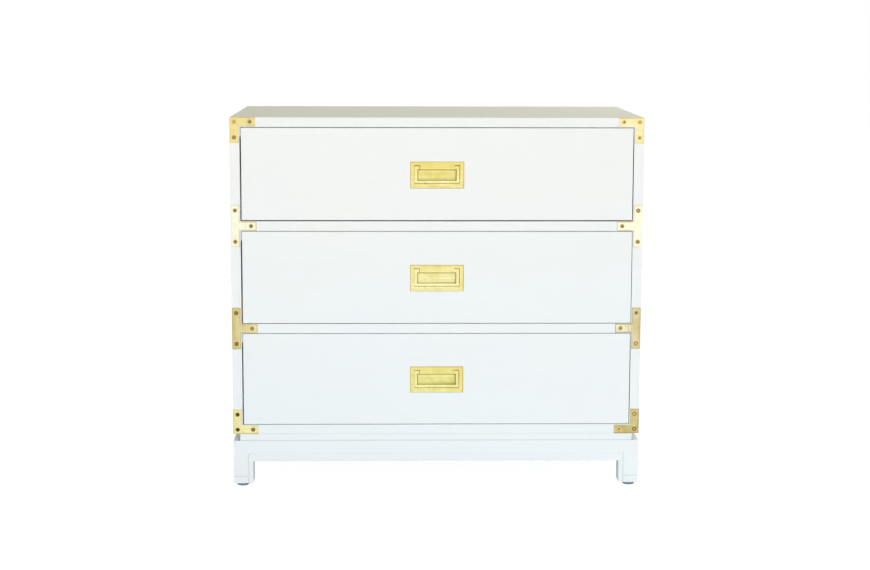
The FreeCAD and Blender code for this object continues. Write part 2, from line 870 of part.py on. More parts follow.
def build_drawer(opening, floor):
    """Make one drawer: a front, two sides, a back and a bottom."""
    spot = (0, face, floor)
    seated = (0, face, floor + size.runner_play)
    front = drawer_front(opening, spot)
    keep("drawer_front_" + opening, front.body)

    side_label = "drawer_side_left_" + opening
    side = Piece(side_label, (-box_half, face, floor + size.runner_play))
    shoulder = size.front_thickness
    side.pad("XY", 0, box_height, box((0, shoulder), (size.box_side_thickness, drawer_length)))
    side.round(
        size.box_edge_round,
        {"x": 0, "z": box_height},
        {"x": size.box_side_thickness, "z": box_height},
    )
    tongue = [(across, along + shoulder - size.tongue_length) for across, along in tongue_outline()]
    side.pad("XY", 0, box_height - size.box_edge_round, tongue)
    groove = box(
        (size.box_side_thickness - size.groove_depth, size.groove_height),
        (size.box_side_thickness, size.groove_height + groove_width),
    )
    start = shoulder - size.tongue_length
    side.pocket("XZ", start, drawer_length - start, groove)
    sockets = shifted(dovetail_pins(size.joint_play), drawer_length)
    side.pocket("YZ", 0, size.box_side_thickness, *sockets)
    keep(side_label, side.body)
    other_label = "drawer_side_right_" + opening
    keep(other_label, mirrored(other_label, side.body))

    back = Piece("drawer_back_" + opening, seated)
    rear, deep = drawer_length, size.box_back_thickness
    low = back_base - size.runner_play
    outline = box((-box_inner, rear - deep), (box_inner, rear))
    back.pad("XY", low, back_height, outline)
    back.round(size.box_edge_round, {"y": rear - deep, "z": box_height}, {"y": rear, "z": box_height})
    pins = shifted(dovetail_pins(), rear)
    back.pad("YZ", -box_half, size.box_side_thickness, *pins)
    back.pad("YZ", box_inner, size.box_side_thickness, *pins)
    keep("drawer_back_" + opening, back.body)

    bottom = Piece("drawer_bottom_" + opening, seated)
    half = box_inner + size.groove_depth - size.groove_play
    near = size.front_thickness - size.groove_depth + size.groove_play
    lift = size.groove_height + size.groove_play / 2
    bottom.pad("XY", lift, size.box_bottom_thickness, box((-half, near), (half, rear)))
    keep("drawer_bottom_" + opening, bottom.body)


def shifted(outlines, along):
    """Move outlines along their first coordinate."""
    return [[(first + along, second) for first, second in corners] for corners in outlines]


def drawer_front(opening, spot):
    """A drawer front, grooved for its box and mortised for its pull."""
    thick = size.front_thickness
    piece = Piece("drawer_front_" + opening, spot)
    left, right, under, over = front_gaps[opening]
    start, end = left - opening_width / 2, opening_width / 2 - right
    low, high = under, size.opening_height - over
    piece.pad("XZ", 0, thick, box((start, low), (end, high)))
    rim = [{"y": 0, "x": side} for side in (start, end)]
    piece.round(size.front_round, *rim, {"y": 0, "z": low}, {"y": 0, "z": high})
    grooves = []
    for hand in (-1, 1):
        outline = tongue_outline(size.joint_play)
        shift = thick - size.tongue_length
        grooves.append([(hand * (box_half - across), along + shift) for across, along in outline])
    top = size.runner_play + box_height + size.joint_play
    piece.pocket("XY", low, top - low, *grooves)
    slot_base = size.runner_play + size.groove_height
    slot = box((thick - size.groove_depth, slot_base), (thick, slot_base + groove_width))
    half = box_half - size.box_side_thickness / 2
    piece.pocket("YZ", -half, 2 * half, slot)

    play = size.pull_play
    plate_half, plate_rise = size.plate_width / 2 + play, size.plate_height / 2 + play
    seat = box((-plate_half, pull_centre - plate_rise), (plate_half, pull_centre + plate_rise))
    piece.pocket("XZ", 0, size.flange_thickness, seat)
    across, base, top = cup_half + play, pull_centre + cup_base - play, pull_centre + cup_top + play
    piece.pocket("XZ", 0, size.cup_depth + play, box((-across, base), (across, top)))
    return piece


# ---------------------------------------------------------------- pulls


def build_pull(opening, floor):
    """Make one flush pull: its plate, its bail and the two pins that the bail swings on."""
    spot = (0, face, floor + pull_centre)
    keep("pull_plate_" + opening, pull_plate("pull_plate_" + opening, spot).body)
    keep("pull_bail_" + opening, pull_bail("pull_bail_" + opening, spot).body)
    pin = Piece("hinge_pin_left_" + opening, spot)
    pin_length = cup_half - ear_inner + size.hinge_seat
    pin.rod("YZ", -cup_half, pin_length, (hinge_depth, hinge_height), size.hinge_radius)
    label = "hinge_pins_" + opening
    other = mirrored("hinge_pin_right_" + opening, pin.body)
    keep(label, compound(label, [pin.body, other]))


def pull_plate(label, spot):
    """The plate of a pull, with a channel for the bail and a well for the fingers."""
    piece = Piece(label, spot)
    half, rise = size.plate_width / 2, size.plate_height / 2
    piece.pad("XZ", 0, size.flange_thickness, box((-half, -rise), (half, rise)))
    behind = size.cup_depth - size.flange_thickness
    piece.pad("XZ", size.flange_thickness, behind, box((-cup_half, cup_base), (cup_half, cup_top)))
    sides = [{"x": side, "y": 0} for side in (-half, half)]
    piece.bevel(size.plate_bevel, *sides, {"y": 0, "z": rise}, {"y": 0, "z": -rise})
    land = ear_inner - size.ear_gap
    channel = [
        (-channel_half, channel_top),
        (-land, channel_top),
        (-land, well_top),
        (land, well_top),
        (land, channel_top),
        (channel_half, channel_top),
        (channel_half, channel_base),
        (-channel_half, channel_base),
    ]
    piece.pocket("XZ", 0, channel_depth, channel)
    well_half = size.well_width / 2
    well_floor = size.well_depth - channel_depth
    piece.pocket("XZ", channel_depth, well_floor, box((-well_half, well_base), (well_half, well_top)))
    low, high = {"y": size.well_depth, "z": well_base}, {"y": size.well_depth, "z": well_top}
    ends = [{"x": side, "y": size.well_depth} for side in (-well_half, well_half)]
    piece.round(size.well_round, low, high, *ends)
    swing = size.ear_height / 2 + size.ear_gap
    ears = [
        box((-channel_half, hinge_height - swing), (-land, hinge_height + swing)),
        box((land, hinge_height - swing), (channel_half, hinge_height + swing)),
    ]
    piece.pocket("XZ", 0, hinge_depth + swing, *ears)
    bore = size.hinge_radius + size.hinge_seat_play
    reach = cup_half - ear_inner + size.hinge_seat
    for start in (-cup_half, cup_half - reach):
        piece.bore("YZ", start, reach, (hinge_depth, hinge_height), bore)
    return piece


def pull_bail(label, spot):
    """The U-shaped bail, whose ears turn inwards at the top and take the pins."""
    piece = Piece(label, spot)
    inner = bail_half - size.bail_bar
    outline = [
        (-bail_half, bail_top),
        (-ear_inner, bail_top),
        (-ear_inner, ear_base),
        (-inner, ear_base),
        (-inner, bar_top),
        (inner, bar_top),
        (inner, ear_base),
        (ear_inner, ear_base),
        (ear_inner, bail_top),
        (bail_half, bail_top),
        (bail_half, bar_base),
        (-bail_half, bar_base),
    ]
    piece.pad("XZ", 0, size.bail_thickness, outline)
    feet = [{"x": side, "z": bar_base} for side in (-bail_half, bail_half)]
    piece.round(size.bail_corner_round, *feet)
    crown = size.bail_thickness / 2 - size.hinge_play
    piece.round(crown, {"y": 0, "z": bail_top}, {"y": size.bail_thickness, "z": bail_top})
    piece.round(size.bail_edge_round, {"y": 0, "z": bar_top})
    bore = size.hinge_radius + size.hinge_play
    piece.bore("YZ", -bail_half, size.bail_width, (hinge_depth, hinge_height), bore)
    return piece


# ---------------------------------------------------------------- build and write


def check():
    """Stop if any object failed or any piece has no valid shape."""
    failed = [item.Label for item in document.Objects if {"Invalid", "Error"} & set(item.State)]
    if failed:
        raise RuntimeError("failed objects: " + ", ".join(failed))
    for label, piece in PIECES.items():
        if piece.Shape.isNull() or not piece.Shape.isValid() or not piece.Shape.Solids:
            raise RuntimeError(f"{label} has no valid shape")


def write():
    """Write every piece to its own file."""
    os.makedirs("parts", exist_ok=True)
    for label, piece in PIECES.items():
        piece.Shape.exportStep(f"parts/{label}.step")
        print(f"{label}: {len(piece.Shape.Solids)} solids, {piece.Shape.Volume / 1000:.1f} cm3")


def main():
    """Build every piece, check them all and write them."""
    let_in = build_brackets()
    build_case(let_in)
    build_rails(let_in)
    build_strips()
    build_plinth()
    build_stand()
    for index, opening in enumerate(OPENINGS):
        floor = sides_base + index * opening_pitch
        build_drawer(opening, floor)
        build_pull(opening, floor)
    document.recompute()
    check()
    write()
    print(len(PIECES), "pieces")


main()
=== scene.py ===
"""Campaign chest: three flush drawers in a white, brass-bound case on a low stand."""

import logging
import math
from dataclasses import dataclass, replace
from enum import Enum
from typing import Callable, ClassVar, Iterable, Sequence

import bmesh
import bpy
from mathutils import Matrix, Vector


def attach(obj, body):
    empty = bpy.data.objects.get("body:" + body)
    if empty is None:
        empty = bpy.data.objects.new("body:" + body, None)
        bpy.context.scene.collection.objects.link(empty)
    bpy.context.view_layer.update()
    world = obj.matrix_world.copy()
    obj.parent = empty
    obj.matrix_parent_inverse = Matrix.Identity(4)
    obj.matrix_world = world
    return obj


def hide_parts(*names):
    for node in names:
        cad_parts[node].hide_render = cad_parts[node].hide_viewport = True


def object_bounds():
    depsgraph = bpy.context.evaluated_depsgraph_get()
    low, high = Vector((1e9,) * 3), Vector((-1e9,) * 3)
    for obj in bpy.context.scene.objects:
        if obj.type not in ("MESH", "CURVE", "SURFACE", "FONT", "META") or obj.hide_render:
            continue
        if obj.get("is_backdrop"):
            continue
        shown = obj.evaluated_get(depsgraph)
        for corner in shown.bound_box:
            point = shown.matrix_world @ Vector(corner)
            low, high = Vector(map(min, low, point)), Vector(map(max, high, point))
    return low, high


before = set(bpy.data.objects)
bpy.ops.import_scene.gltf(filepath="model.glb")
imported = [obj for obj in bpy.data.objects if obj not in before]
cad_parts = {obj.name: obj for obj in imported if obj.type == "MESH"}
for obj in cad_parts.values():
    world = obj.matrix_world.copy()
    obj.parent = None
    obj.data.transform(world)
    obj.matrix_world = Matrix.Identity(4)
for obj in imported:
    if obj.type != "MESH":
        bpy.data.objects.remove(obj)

log = logging.getLogger("campaign_chest")

MM = 0.001
CAD_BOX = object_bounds()

Triple = tuple[float, float, float]
Colour = Triple
Spot = tuple[float, float]
EdgeTest = Callable[[bmesh.types.BMEdge], bool]


def srgb(red: float, green: float, blue: float) -> Colour:
    """Return a colour that is written in screen values, 0 to 255, as shaders take it."""
    shares = (value / 255 for value in (red, green, blue))
    return tuple(s / 12.92 if s <= 0.04045 else ((s + 0.055) / 1.055) ** 2.4 for s in shares)


class Axis(Enum):
    """A direction, as of grain, of brushing or of a coordinate."""

    X = 0
    Y = 1
    Z = 2

    def stretch(self, along: float, across: float) -> Triple:
        """Return scales for a pattern that runs along this axis and is finer across it."""
        return tuple(along if axis is self else across for axis in Axis)


class Slot(Enum):
    """The record's finish slots that the newly modelled pieces are given, though nothing applies
    them.
    """

    LACQUER = "white_lacquer"
    BRASS = "brushed_brass"
    SCREW = "screw_brass"
    GLIDE = "glide_plastic"


class Opening(Enum):
    """The three drawer openings, each with the height of its pull's middle in millimetres."""

    BOTTOM = 218.05
    MIDDLE = 422.55
    TOP = 627.05

    @property
    def label(self) -> str:
        """The opening's name as the frame's nodes and bodies carry it."""
        return self.name.lower()


class Age(Enum):
    """How dark a screw head has turned: at its middle, over its face and at its rim."""

    CLEAN = (0.85, 0.02, 0.10)
    GOLDEN = (0.35, 0.10, 0.30)
    WORN = (0.65, 0.25, 0.60)
    PITTED = (1.00, 0.38, 0.50)
    OLIVE = (0.50, 0.48, 0.70)
    BRIGHT = (0.00, 0.00, 0.95)
    RINGED = (0.15, 0.40, 1.00)
    BROWN = (0.65, 0.62, 1.00)
    BLACK = (1.00, 0.82, 1.00)


# ---------------------------------------------------------------- shaders


class Value:
    """A number socket of a shader, on which Python's operators add Math nodes."""

    def __init__(self, shader: "Shader", socket: bpy.types.NodeSocket) -> None:
        """Wrap a socket.

        Args:
            shader: The node tree that the socket belongs to.
            socket: The output that gives the number.
        """
        self.shader = shader
        self.socket = socket

    def maths(self, operation: str, *others: "float | Value") -> "Value":
        """Add a Math node.

        Args:
            operation: The node's operation, such as POWER.
            *others: The node's inputs after this number, in order.

        Returns:
            The node's result.
        """
        return self.shader.add("Math", {"operation": operation}, dict(enumerate((self, *others))))

    def __add__(self, other: "float | Value") -> "Value":
        """Return this number plus the other."""
        return self.maths("ADD", other)

    __radd__ = __add__

    def __sub__(self, other: "float | Value") -> "Value":
        """Return this number less the other."""
        return self.maths("SUBTRACT", other)

    def __rsub__(self, other: float) -> "Value":
        """Return the other less this number."""
        return self.shader.add("Math", {"operation": "SUBTRACT"}, {0: other, 1: self})

    def __mul__(self, other: "float | Value") -> "Value":
        """Return this number times the other."""
        return self.maths("MULTIPLY", other)

    __rmul__ = __mul__

    def __abs__(self) -> "Value":
        """Return this number without its sign."""
        return self.maths("ABSOLUTE")

    def larger(self, other: "float | Value") -> "Value":
        """Return the larger of this number and the other."""
        return self.maths("MAXIMUM", other)

    def smaller(self, other: "float | Value") -> "Value":
        """Return the smaller of this number and the other."""
        return self.maths("MINIMUM", other)

    def wave(self) -> "Value":
        """Return a smooth wave between 0 and 1 that repeats as this number grows by a full turn."""
        return self.maths("SINE") * 0.5 + 0.5

    def between(self, low: float, high: float) -> "Value":
        """Return how far this number has come from low to high, held within 0 and 1."""
        inputs = {"Value": self, "From Min": low, "From Max": high}
        return self.shader.add("MapRange", {"clamp": True}, inputs)


class Shader:
    """A node tree in the making."""

    # Sockets of a Mix node that mixes colours: its two inputs and its result.
    COLOUR_INPUTS: ClassVar[tuple[int, int]] = (6, 7)
    COLOUR_RESULT: ClassVar[int] = 2
    EDGE_SAMPLES: ClassVar[int] = 6
    EDGE_TURN: ClassVar[float] = 0.25

    def __init__(self, tree: bpy.types.NodeTree) -> None:
        """Empty a node tree and write in it from now on.

        Args:
            tree: The tree of a material or of the world.
        """
        self.tree = tree
        tree.nodes.clear()

    def add(self, kind: str, settings: dict | None = None, inputs: dict | None = None,
            output: int | str = 0) -> Value | None:
        """Add one node of any type.

        Args:
            kind: The node's type, without its ShaderNode prefix.
            settings: The node's own properties.
            inputs: Values or links, by the names or numbers of the node's sockets.
            output: The name or number of the output that is wanted.

        Returns:
            That output, if the node has any.
        """
        node = self.tree.nodes.new("ShaderNode" + kind)
        for key, setting in (settings or {}).items():
            setattr(node, key, setting)
        for key, given in (inputs or {}).items():
            socket = node.inputs[key]
            if isinstance(given, Value):
                self.tree.links.new(given.socket, socket)
            elif isinstance(given, tuple) and len(given) < len(socket.default_value):
                socket.default_value = (*given, 1)
            else:
                socket.default_value = given
        return Value(self, node.outputs[output]) if len(node.outputs) else None

    def place(self, scale: Triple = (1, 1, 1), offset: Triple = (0, 0, 0)) -> Value:
        """Return the object's own coordinates, stretched by scale and shifted by offset."""
        spot = self.add("TexCoord", output="Object")
        return self.add("Mapping", inputs={"Vector": spot, "Location": offset, "Scale": scale})

    def part(self, vector: Value, axis: Axis) -> Value:
        """Return one coordinate of a vector."""
        return self.add("SeparateXYZ", inputs={0: vector}, output=axis.value)

    def noise(self, spot: Value, scale: float, detail: float = 2,
              distortion: float = 0) -> Value:
        """Return soft noise at a spot.

        Args:
            spot: Where to read the noise.
            scale: How many lumps there are in a unit of length.
            detail: How many finer octaves are laid over them.
            distortion: How far the lumps are pulled about.

        Returns:
            Noise around 0.5.
        """
        inputs = {"Vector": spot, "Scale": scale, "Detail": detail, "Distortion": distortion}
        return self.add("TexNoise", inputs=inputs, output="Fac")

    def mix(self, share: "float | Value", start: "Colour | Value", end: "Colour | Value") -> Value:
        """Return a colour between start and end, at a share of the way."""
        inputs = {0: share, **dict(zip(self.COLOUR_INPUTS, (start, end)))}
        return self.add("Mix", {"data_type": "RGBA"}, inputs, self.COLOUR_RESULT)

    def bump(self, height: Value, distance: float, strength: float = 1.0) -> Value:
        """Return a normal that is tilted as if the surface rose by height times distance."""
        inputs = {"Height": height, "Distance": distance, "Strength": strength}
        return self.add("Bump", inputs=inputs, output="Normal")

    def edge(self, radius: float) -> Value:
        """Find the edges of a piece.

        Args:
            radius: How far from an edge counts as near it.

        Returns:
            0 on flat ground, and up to about 1 near an edge.
        """
        rounded = self.add("Bevel", {"samples": self.EDGE_SAMPLES}, {"Radius": radius})
        normals = {0: rounded, 1: self.add("NewGeometry", output="Normal")}
        facing = self.add("VectorMath", {"operation": "DOT_PRODUCT"}, normals, "Value")
        return (1 - facing).between(0.0, self.EDGE_TURN)

    def seen(self) -> Value:
        """Return 1 for rays that show the background as it is, and 0 for rays that light."""
        direct, mirrored, through = (self.add("LightPath", output=f"Is {kind} Ray")
                                     for kind in ("Camera", "Glossy", "Transmission"))
        return direct.larger(mirrored).larger(through)

    def surface(self, **inputs: "float | Colour | Value") -> None:
        """Finish with a Principled surface.

        Args:
            **inputs: The surface's sockets, with underscores for the spaces in their names.
        """
        named = {key.replace("_", " ").replace("Ior", "IOR"): given
                 for key, given in inputs.items()}
        self.finish(self.add("BsdfPrincipled", inputs=named))

    def finish(self, result: Value, kind: str = "OutputMaterial") -> None:
        """Send a result to the tree's output."""
        self.add(kind, inputs={"Surface": result})


# ---------------------------------------------------------------- finishes


class Finish:
    """A treatment of surfaces that becomes a material."""

    def material(self, name: str) -> bpy.types.Material:
        """Make the finish's material.

        Args:
            name: The material's name.

        Returns:
            The material.
        """
        material = bpy.data.materials.new(name)
        material.use_nodes = True
        self.paint(Shader(material.node_tree))
        return material

    def paint(self, shader: Shader) -> None:
        """Write the finish's nodes.

        Args:
            shader: The material's node tree.
        """
        raise NotImplementedError


@dataclass(frozen=True)
class Lacquer(Finish):
    """Sprayed white lacquer over sanded wood, with a painted light tint that is cooler low down and
    warmer higher up, and painted shade in its corners.
    """

    grain: Axis
    low: Colour = srgb(237, 244, 246)
    high: Colour = srgb(242, 243, 239)
    # Heights over which the painted light tint turns from the cool low colour to the warm high
    # colour.
    painted_light_span: Spot = (0.32, 0.92)
    speck: Colour = srgb(196, 192, 178)
    speck_share: float = 0.12
    fibre_share: float = 0.04
    # Painted shade in corners, gaps and recesses: its colour, reach, strength and samples.
    crease_shade: Colour = srgb(142, 146, 140)
    crease_shade_reach: float = 0.0025
    crease_shade_share: float = 0.35
    crease_shade_samples: int = 8
    gloss: float = 0.42
    level: float = 0.22
    relief: float = 0.00005

    def paint(self, shader: Shader) -> None:
        """Tint the white with height as painted light, and lay specks, fibres, painted shade and
        orange peel over it.

        Args:
            shader: The material's node tree.
        """
        spot = shader.place()
        cloud = shader.noise(spot, scale=3.5, detail=3, distortion=0.4)
        fibres = shader.place(self.grain.stretch(9.0, 260.0))
        fibre = shader.noise(fibres, scale=1.0, detail=3, distortion=0.2)
        peel = shader.noise(spot, scale=620)
        speck = shader.noise(spot, scale=330, detail=1).between(0.77, 0.80)
        height = shader.part(spot, Axis.Z)
        # Painted light: cooler low down and warmer higher up, as if lit warm from above and cool
        # from the floor, broken up by cloud.
        tone = shader.mix((height + 0.5 * cloud).between(*self.painted_light_span), self.low, self.high)
        tone = shader.mix(speck * self.speck_share, tone, self.speck)
        tone = shader.mix(fibre.between(0.5, 0.9) * self.fibre_share, tone, self.speck)
        # Painted shade: ambient occlusion darkens the white in corners, gaps and recesses.
        opened = shader.add("AmbientOcclusion", {"samples": self.crease_shade_samples},
                            {"Distance": self.crease_shade_reach}, "AO")
        painted_crease_shade = (1 - opened).between(0.08, 0.6) * self.crease_shade_share
        shader.surface(Base_Color=shader.mix(painted_crease_shade, tone, self.crease_shade),
                       Roughness=self.gloss + 0.10 * cloud + 0.06 * peel,
                       Specular_Ior_Level=self.level,
                       Normal=shader.bump(peel * 0.7 + fibre * 0.3, self.relief))


@dataclass(frozen=True)
class Hardwood(Finish):
    """Pale, close-grained solid wood, sanded and sealed."""

    grain: Axis
    light: Colour = srgb(226, 204, 168)
    dark: Colour = srgb(188, 156, 114)
    pore: Colour = srgb(142, 108, 72)
    ring_turn: float = 42.0
    ring_share: float = 0.7
    pore_share: float = 0.5
    relief: float = 0.00012

    def paint(self, shader: Shader) -> None:
        """Draw the growth rings and the pores along the grain.

        Args:
            shader: The material's node tree.
        """
        figure = shader.place(self.grain.stretch(1.1, 16.0))
        rings = shader.noise(figure, scale=1.6, detail=5, distortion=1.4)
        bands = (rings * self.ring_turn).wave()
        fibre = shader.noise(shader.place(self.grain.stretch(22.0, 700.0)), scale=1.0)
        colour = shader.mix(bands * self.ring_share, self.light, self.dark)
        colour = shader.mix(fibre.between(0.56, 0.74) * self.pore_share, colour, self.pore)
        shader.surface(Base_Color=colour, Roughness=0.48 + 0.12 * fibre, Specular_Ior_Level=0.4,
                       Normal=shader.bump(fibre * 0.6 + bands * 0.2, self.relief))


@dataclass(frozen=True)
class Plywood(Finish):
    """Birch plywood, with quiet faces and thin layers at its edges."""

    through: Axis
    light: Colour = srgb(231, 211, 172)
    dark: Colour = srgb(204, 176, 132)
    glue: Colour = srgb(132, 98, 62)
    flame_share: float = 0.8
    fibre_share: float = 0.4
    layer: float = 0.00125
    relief: float = 0.0001

    def paint(self, shader: Shader) -> None:
        """Draw flames and fibres on the faces, and glued layers at the edges.

        Args:
            shader: The material's node tree.
        """
        flames = shader.place(Axis.X.stretch(1.6, 9.0))
        flame = shader.noise(flames, scale=1.5, detail=4, distortion=1.8).between(0.35, 0.65)
        fibre = shader.noise(shader.place(Axis.X.stretch(30, 420)), scale=1.0)
        face = shader.mix(flame * self.flame_share, self.light, self.dark)
        face = shader.mix(fibre.between(0.58, 0.75) * self.fibre_share, face, self.glue)
        layers = shader.part(shader.place(), self.through).maths("PINGPONG", self.layer)
        edges = shader.mix(layers.between(0.0, self.layer * 0.5), self.glue, self.light)
        normal = shader.add("TexCoord", output="Normal")
        on_face = abs(shader.part(normal, self.through)).between(0.4, 0.6)
        shader.surface(Base_Color=shader.mix(on_face, edges, face), Roughness=0.5 + 0.1 * fibre,
                       Specular_Ior_Level=0.35, Normal=shader.bump(fibre, self.relief))


@dataclass(frozen=True)
class Brass(Finish):
    """Brushed brass that has dulled unevenly."""

    bright: Colour
    dull: Colour
    rim: Colour
    brushing: Axis = Axis.X
    gloss: float = 0.26
    rim_width: float = 0.0016
    rim_share: float = 0.85
    stain_share: float = 0.35
    stain_shade: float = 0.45
    relief: float = 0.00003
    drift: Triple = (0, 0, 0)

    def outer_rim(self, shader: Shader) -> Value:
        """Return the rim's share at the edges of the piece, falling to 0 inside them."""
        return shader.edge(self.rim_width) * self.rim_share

    def shade(self, shader: Shader, colour: Value) -> Value:
        """Return the colour with what is special to one kind of piece."""
        return colour

    def paint(self, shader: Shader) -> None:
        """Dull the brass in streaks and patches, stain it, and deepen its rim.

        Args:
            shader: The material's node tree.
        """
        long_streaks = shader.place(self.brushing.stretch(14.0, 620.0), self.drift)
        short_streaks = shader.place(self.brushing.stretch(90.0, 1900.0), self.drift)
        spot = shader.place(offset=self.drift)
        broad = shader.noise(long_streaks, scale=1.0, detail=3, distortion=0.2)
        fine = shader.noise(short_streaks, scale=1.0)
        patch = shader.noise(spot, scale=34, detail=4, distortion=0.8)
        stain = shader.noise(spot, scale=150, detail=3, distortion=0.5).between(0.60, 0.78)
        dulling = 0.55 * patch.between(0.35, 0.70) + 0.45 * broad.between(0.38, 0.66)
        colour = shader.mix(dulling, self.bright, self.dull)
        stained = tuple(self.stain_shade * share for share in self.dull)
        colour = shader.mix(stain * self.stain_share, colour, stained)
        colour = self.shade(shader, shader.mix(self.outer_rim(shader), colour, self.rim))
        shader.surface(Base_Color=colour, Metallic=1.0,
                       Roughness=self.gloss + 0.12 * broad + 0.12 * patch,
                       Normal=shader.bump(fine * 0.6 + broad * 0.4, self.relief))


@dataclass(frozen=True)
class BracketBrass(Brass):
    """Brass of a bracket, darker at its outline, partly tarnish and partly painted shade of its
    rounded edges, and towards the chest's outer edges.
    """

    rim_width: float = 0.0022
    rim_share: float = 0.9
    rim_core: float = 0.4
    outer: Colour = srgb(200, 170, 90)
    outer_share: float = 0.5
    outer_reach: float = 0.034
    height: float = 0.0
    bars: tuple[tuple[float, float, float, float], ...] = ()

    def inwards(self, shader: Shader) -> Value:
        """Return the distance from the chest's nearer side."""
        return Brackets.half_case * MM - abs(shader.part(shader.place(), Axis.X))

    def outer_rim(self, shader: Shader) -> Value:
        """Find a tee's outline, or a corner bracket's outer edges.

        Args:
            shader: The material's node tree.

        Returns:
            The rim's share there, falling to 0 inside it.
        """
        across = self.inwards(shader)
        along = abs(shader.part(shader.place(), Axis.Z) - self.height)
        depths = []
        for left, right, low, high in self.bars:
            wide = (across - left * MM).smaller(right * MM - across)
            depths.append(wide.smaller(along - low * MM).smaller(high * MM - along))
        inside = depths[0].larger(depths[1]) if depths else across.smaller(along)
        core = self.rim_core * self.rim_width
        # The darker outline is partly edge tarnish and partly painted shade at the rounded edges.
        return (1 - inside.between(core, self.rim_width)) * self.rim_share

    def shade(self, shader: Shader, colour: Value) -> Value:
        """Return the colour, darker towards the chest's sides."""
        share = (1 - self.inwards(shader).between(0.0, self.outer_reach)) * self.outer_share
        return shader.mix(share, colour, self.outer)


@dataclass(frozen=True)
class PullBrass(Brass):
    """Brass of a flush pull, deeper at its top and rim, and darkened in its recesses by tarnish and
    painted shade.
    """

    middle: Triple = (0, 0, 0)
    half: Spot = (0.053, 0.0262)
    well: Spot = (0.0385, 0.011)
    upper: Colour = srgb(226, 206, 104)
    upper_span: Spot = (-0.010, 0.026)
    upper_share: float = 0.75
    rim_core: float = 0.2
    side_shares: Spot = (0.45, 0.45)
    top_share: float = 0.8
    foot_share: float = 0.3
    foot_width: float = 0.6
    # Colour of the darkening in the recesses: partly tarnish, partly painted shade.
    tarnish_and_shade: Colour = srgb(112, 94, 44)
    # Painted shade that grows from the pull's left side to its right, the side in shade.
    shade_side_shares: Spot = (0.45, 0.5)
    shade_side_reach: float = 0.04
    wall_span: Spot = (0.0006, 0.0016)
    floor_span: Spot = (0.0090, 0.0099)
    # The upward-facing bottom wall of the well gets less painted shade.
    below_span: Spot = (0.0095, 0.0108)
    below_share: float = 0.85
    inner_span: Spot = (0.0050, 0.0060)
    # A painted shadow band on the well's floor just under its upper edge.
    lip_shadow: float = 0.0026
    lip_shadow_blur: float = 0.0004
    lip_shadow_share: float = 0.9
    # Painted shade along the well's left and right ends.
    end_span: Spot = (0.0020, 0.0008)

    def along(self, shader: Shader, axis: Axis) -> Value:
        """Return the distance from the pull's middle along an axis."""
        return shader.part(shader.place(offset=tuple(-share for share in self.middle)), axis)

    def outer_rim(self, shader: Shader) -> Value:
        """Find the pull's outline, clearest at its top and right side and faint underneath.

        Args:
            shader: The material's node tree.

        Returns:
            The rim's share there, falling to 0 inside it.
        """
        across, up = self.along(shader, Axis.X), self.along(shader, Axis.Z)
        wide, tall = self.half
        width, core = self.rim_width, self.rim_core * self.rim_width
        left, more = self.side_shares
        sides = abs(across).between(wide - width, wide - core)
        sides = sides * (left + more * across.between(0, wide))
        top = up.between(tall - width, tall - core) * self.top_share
        foot = (0 - up).between(tall - self.foot_width * width, tall) * self.foot_share
        return sides.larger(top).larger(foot)

    def shade(self, shader: Shader, colour: Value) -> Value:
        """Deepen the colour towards the top, and darken it from the face to the floor with tarnish
        and painted shade.

        Args:
            shader: The material's node tree.
            colour: The brass so far.

        Returns:
            The colour that results.
        """
        across, up = self.along(shader, Axis.X), self.along(shader, Axis.Z)
        depth = self.along(shader, Axis.Y)
        colour = shader.mix(up.between(*self.upper_span) * self.upper_share, colour, self.upper)
        # Painted shade, growing towards the right side.
        left, more = self.shade_side_shares
        shade_side = left + more * across.between(-self.shade_side_reach, self.shade_side_reach)
        below = (0 - up).between(*self.below_span)
        walls = depth.between(*self.wall_span) * (1 - depth.between(*self.floor_span))
        sunk = walls * shade_side * (1 - self.below_share * below)
        wide, tall = self.well
        # Painted shadow under the well's upper edge, and painted shade at its ends.
        lip_shadow = up.between(tall - self.lip_shadow - self.lip_shadow_blur, tall - self.lip_shadow + self.lip_shadow_blur)
        ends = abs(across).between(wide - self.end_span[0], wide - self.end_span[1]) * shade_side
        floor = depth.between(*self.inner_span) * (lip_shadow * self.lip_shadow_share).larger(ends)
        return shader.mix(sunk.larger(floor), colour, self.tarnish_and_shade)


@dataclass(frozen=True)
class ScrewBrass(Finish):
    """Turned brass of screw heads, each darkened in its own way, with dirt in the slots."""

    clean: Colour = srgb(238, 214, 128)
    dirt: Colour = srgb(74, 50, 18)
    turning: float = 46.0
    slot_span: Spot = (0.0004, 0.0008)
    core_span: Spot = (0.15, 0.55)
    ring_span: Spot = (0.58, 0.84)
    relief: float = 0.00004

    def paint(self, shader: Shader) -> None:
        """Darken each head by the radius and the age that its own UV maps hold.

        Args:
            shader: The material's node tree.
        """
        inner = shader.add("UVMap", {"uv_map": Form.INNER})
        outer = shader.add("UVMap", {"uv_map": Form.OUTER})
        radius, core = shader.part(inner, Axis.X), shader.part(inner, Axis.Y)
        face, rim = shader.part(outer, Axis.X), shader.part(outer, Axis.Y)
        stain = shader.noise(shader.place(), scale=420, detail=3)
        depth = shader.part(shader.place(), Axis.Y) - Brackets.face * MM
        slots = depth.between(*self.slot_span) * (0.2 + 0.8 * core)
        middle = (1 - radius.between(*self.core_span)) * core
        ring = radius.between(*self.ring_span) * rim
        dark = middle.larger(slots).larger(ring).larger(face * (0.7 + 0.6 * stain))
        rings = (radius * self.turning).wave()
        shader.surface(Base_Color=shader.mix(dark, self.clean, self.dirt), Metallic=1.0,
                       Roughness=0.30 + 0.2 * stain,
                       Normal=shader.bump(rings * 0.5 + stain * 0.5, self.relief))


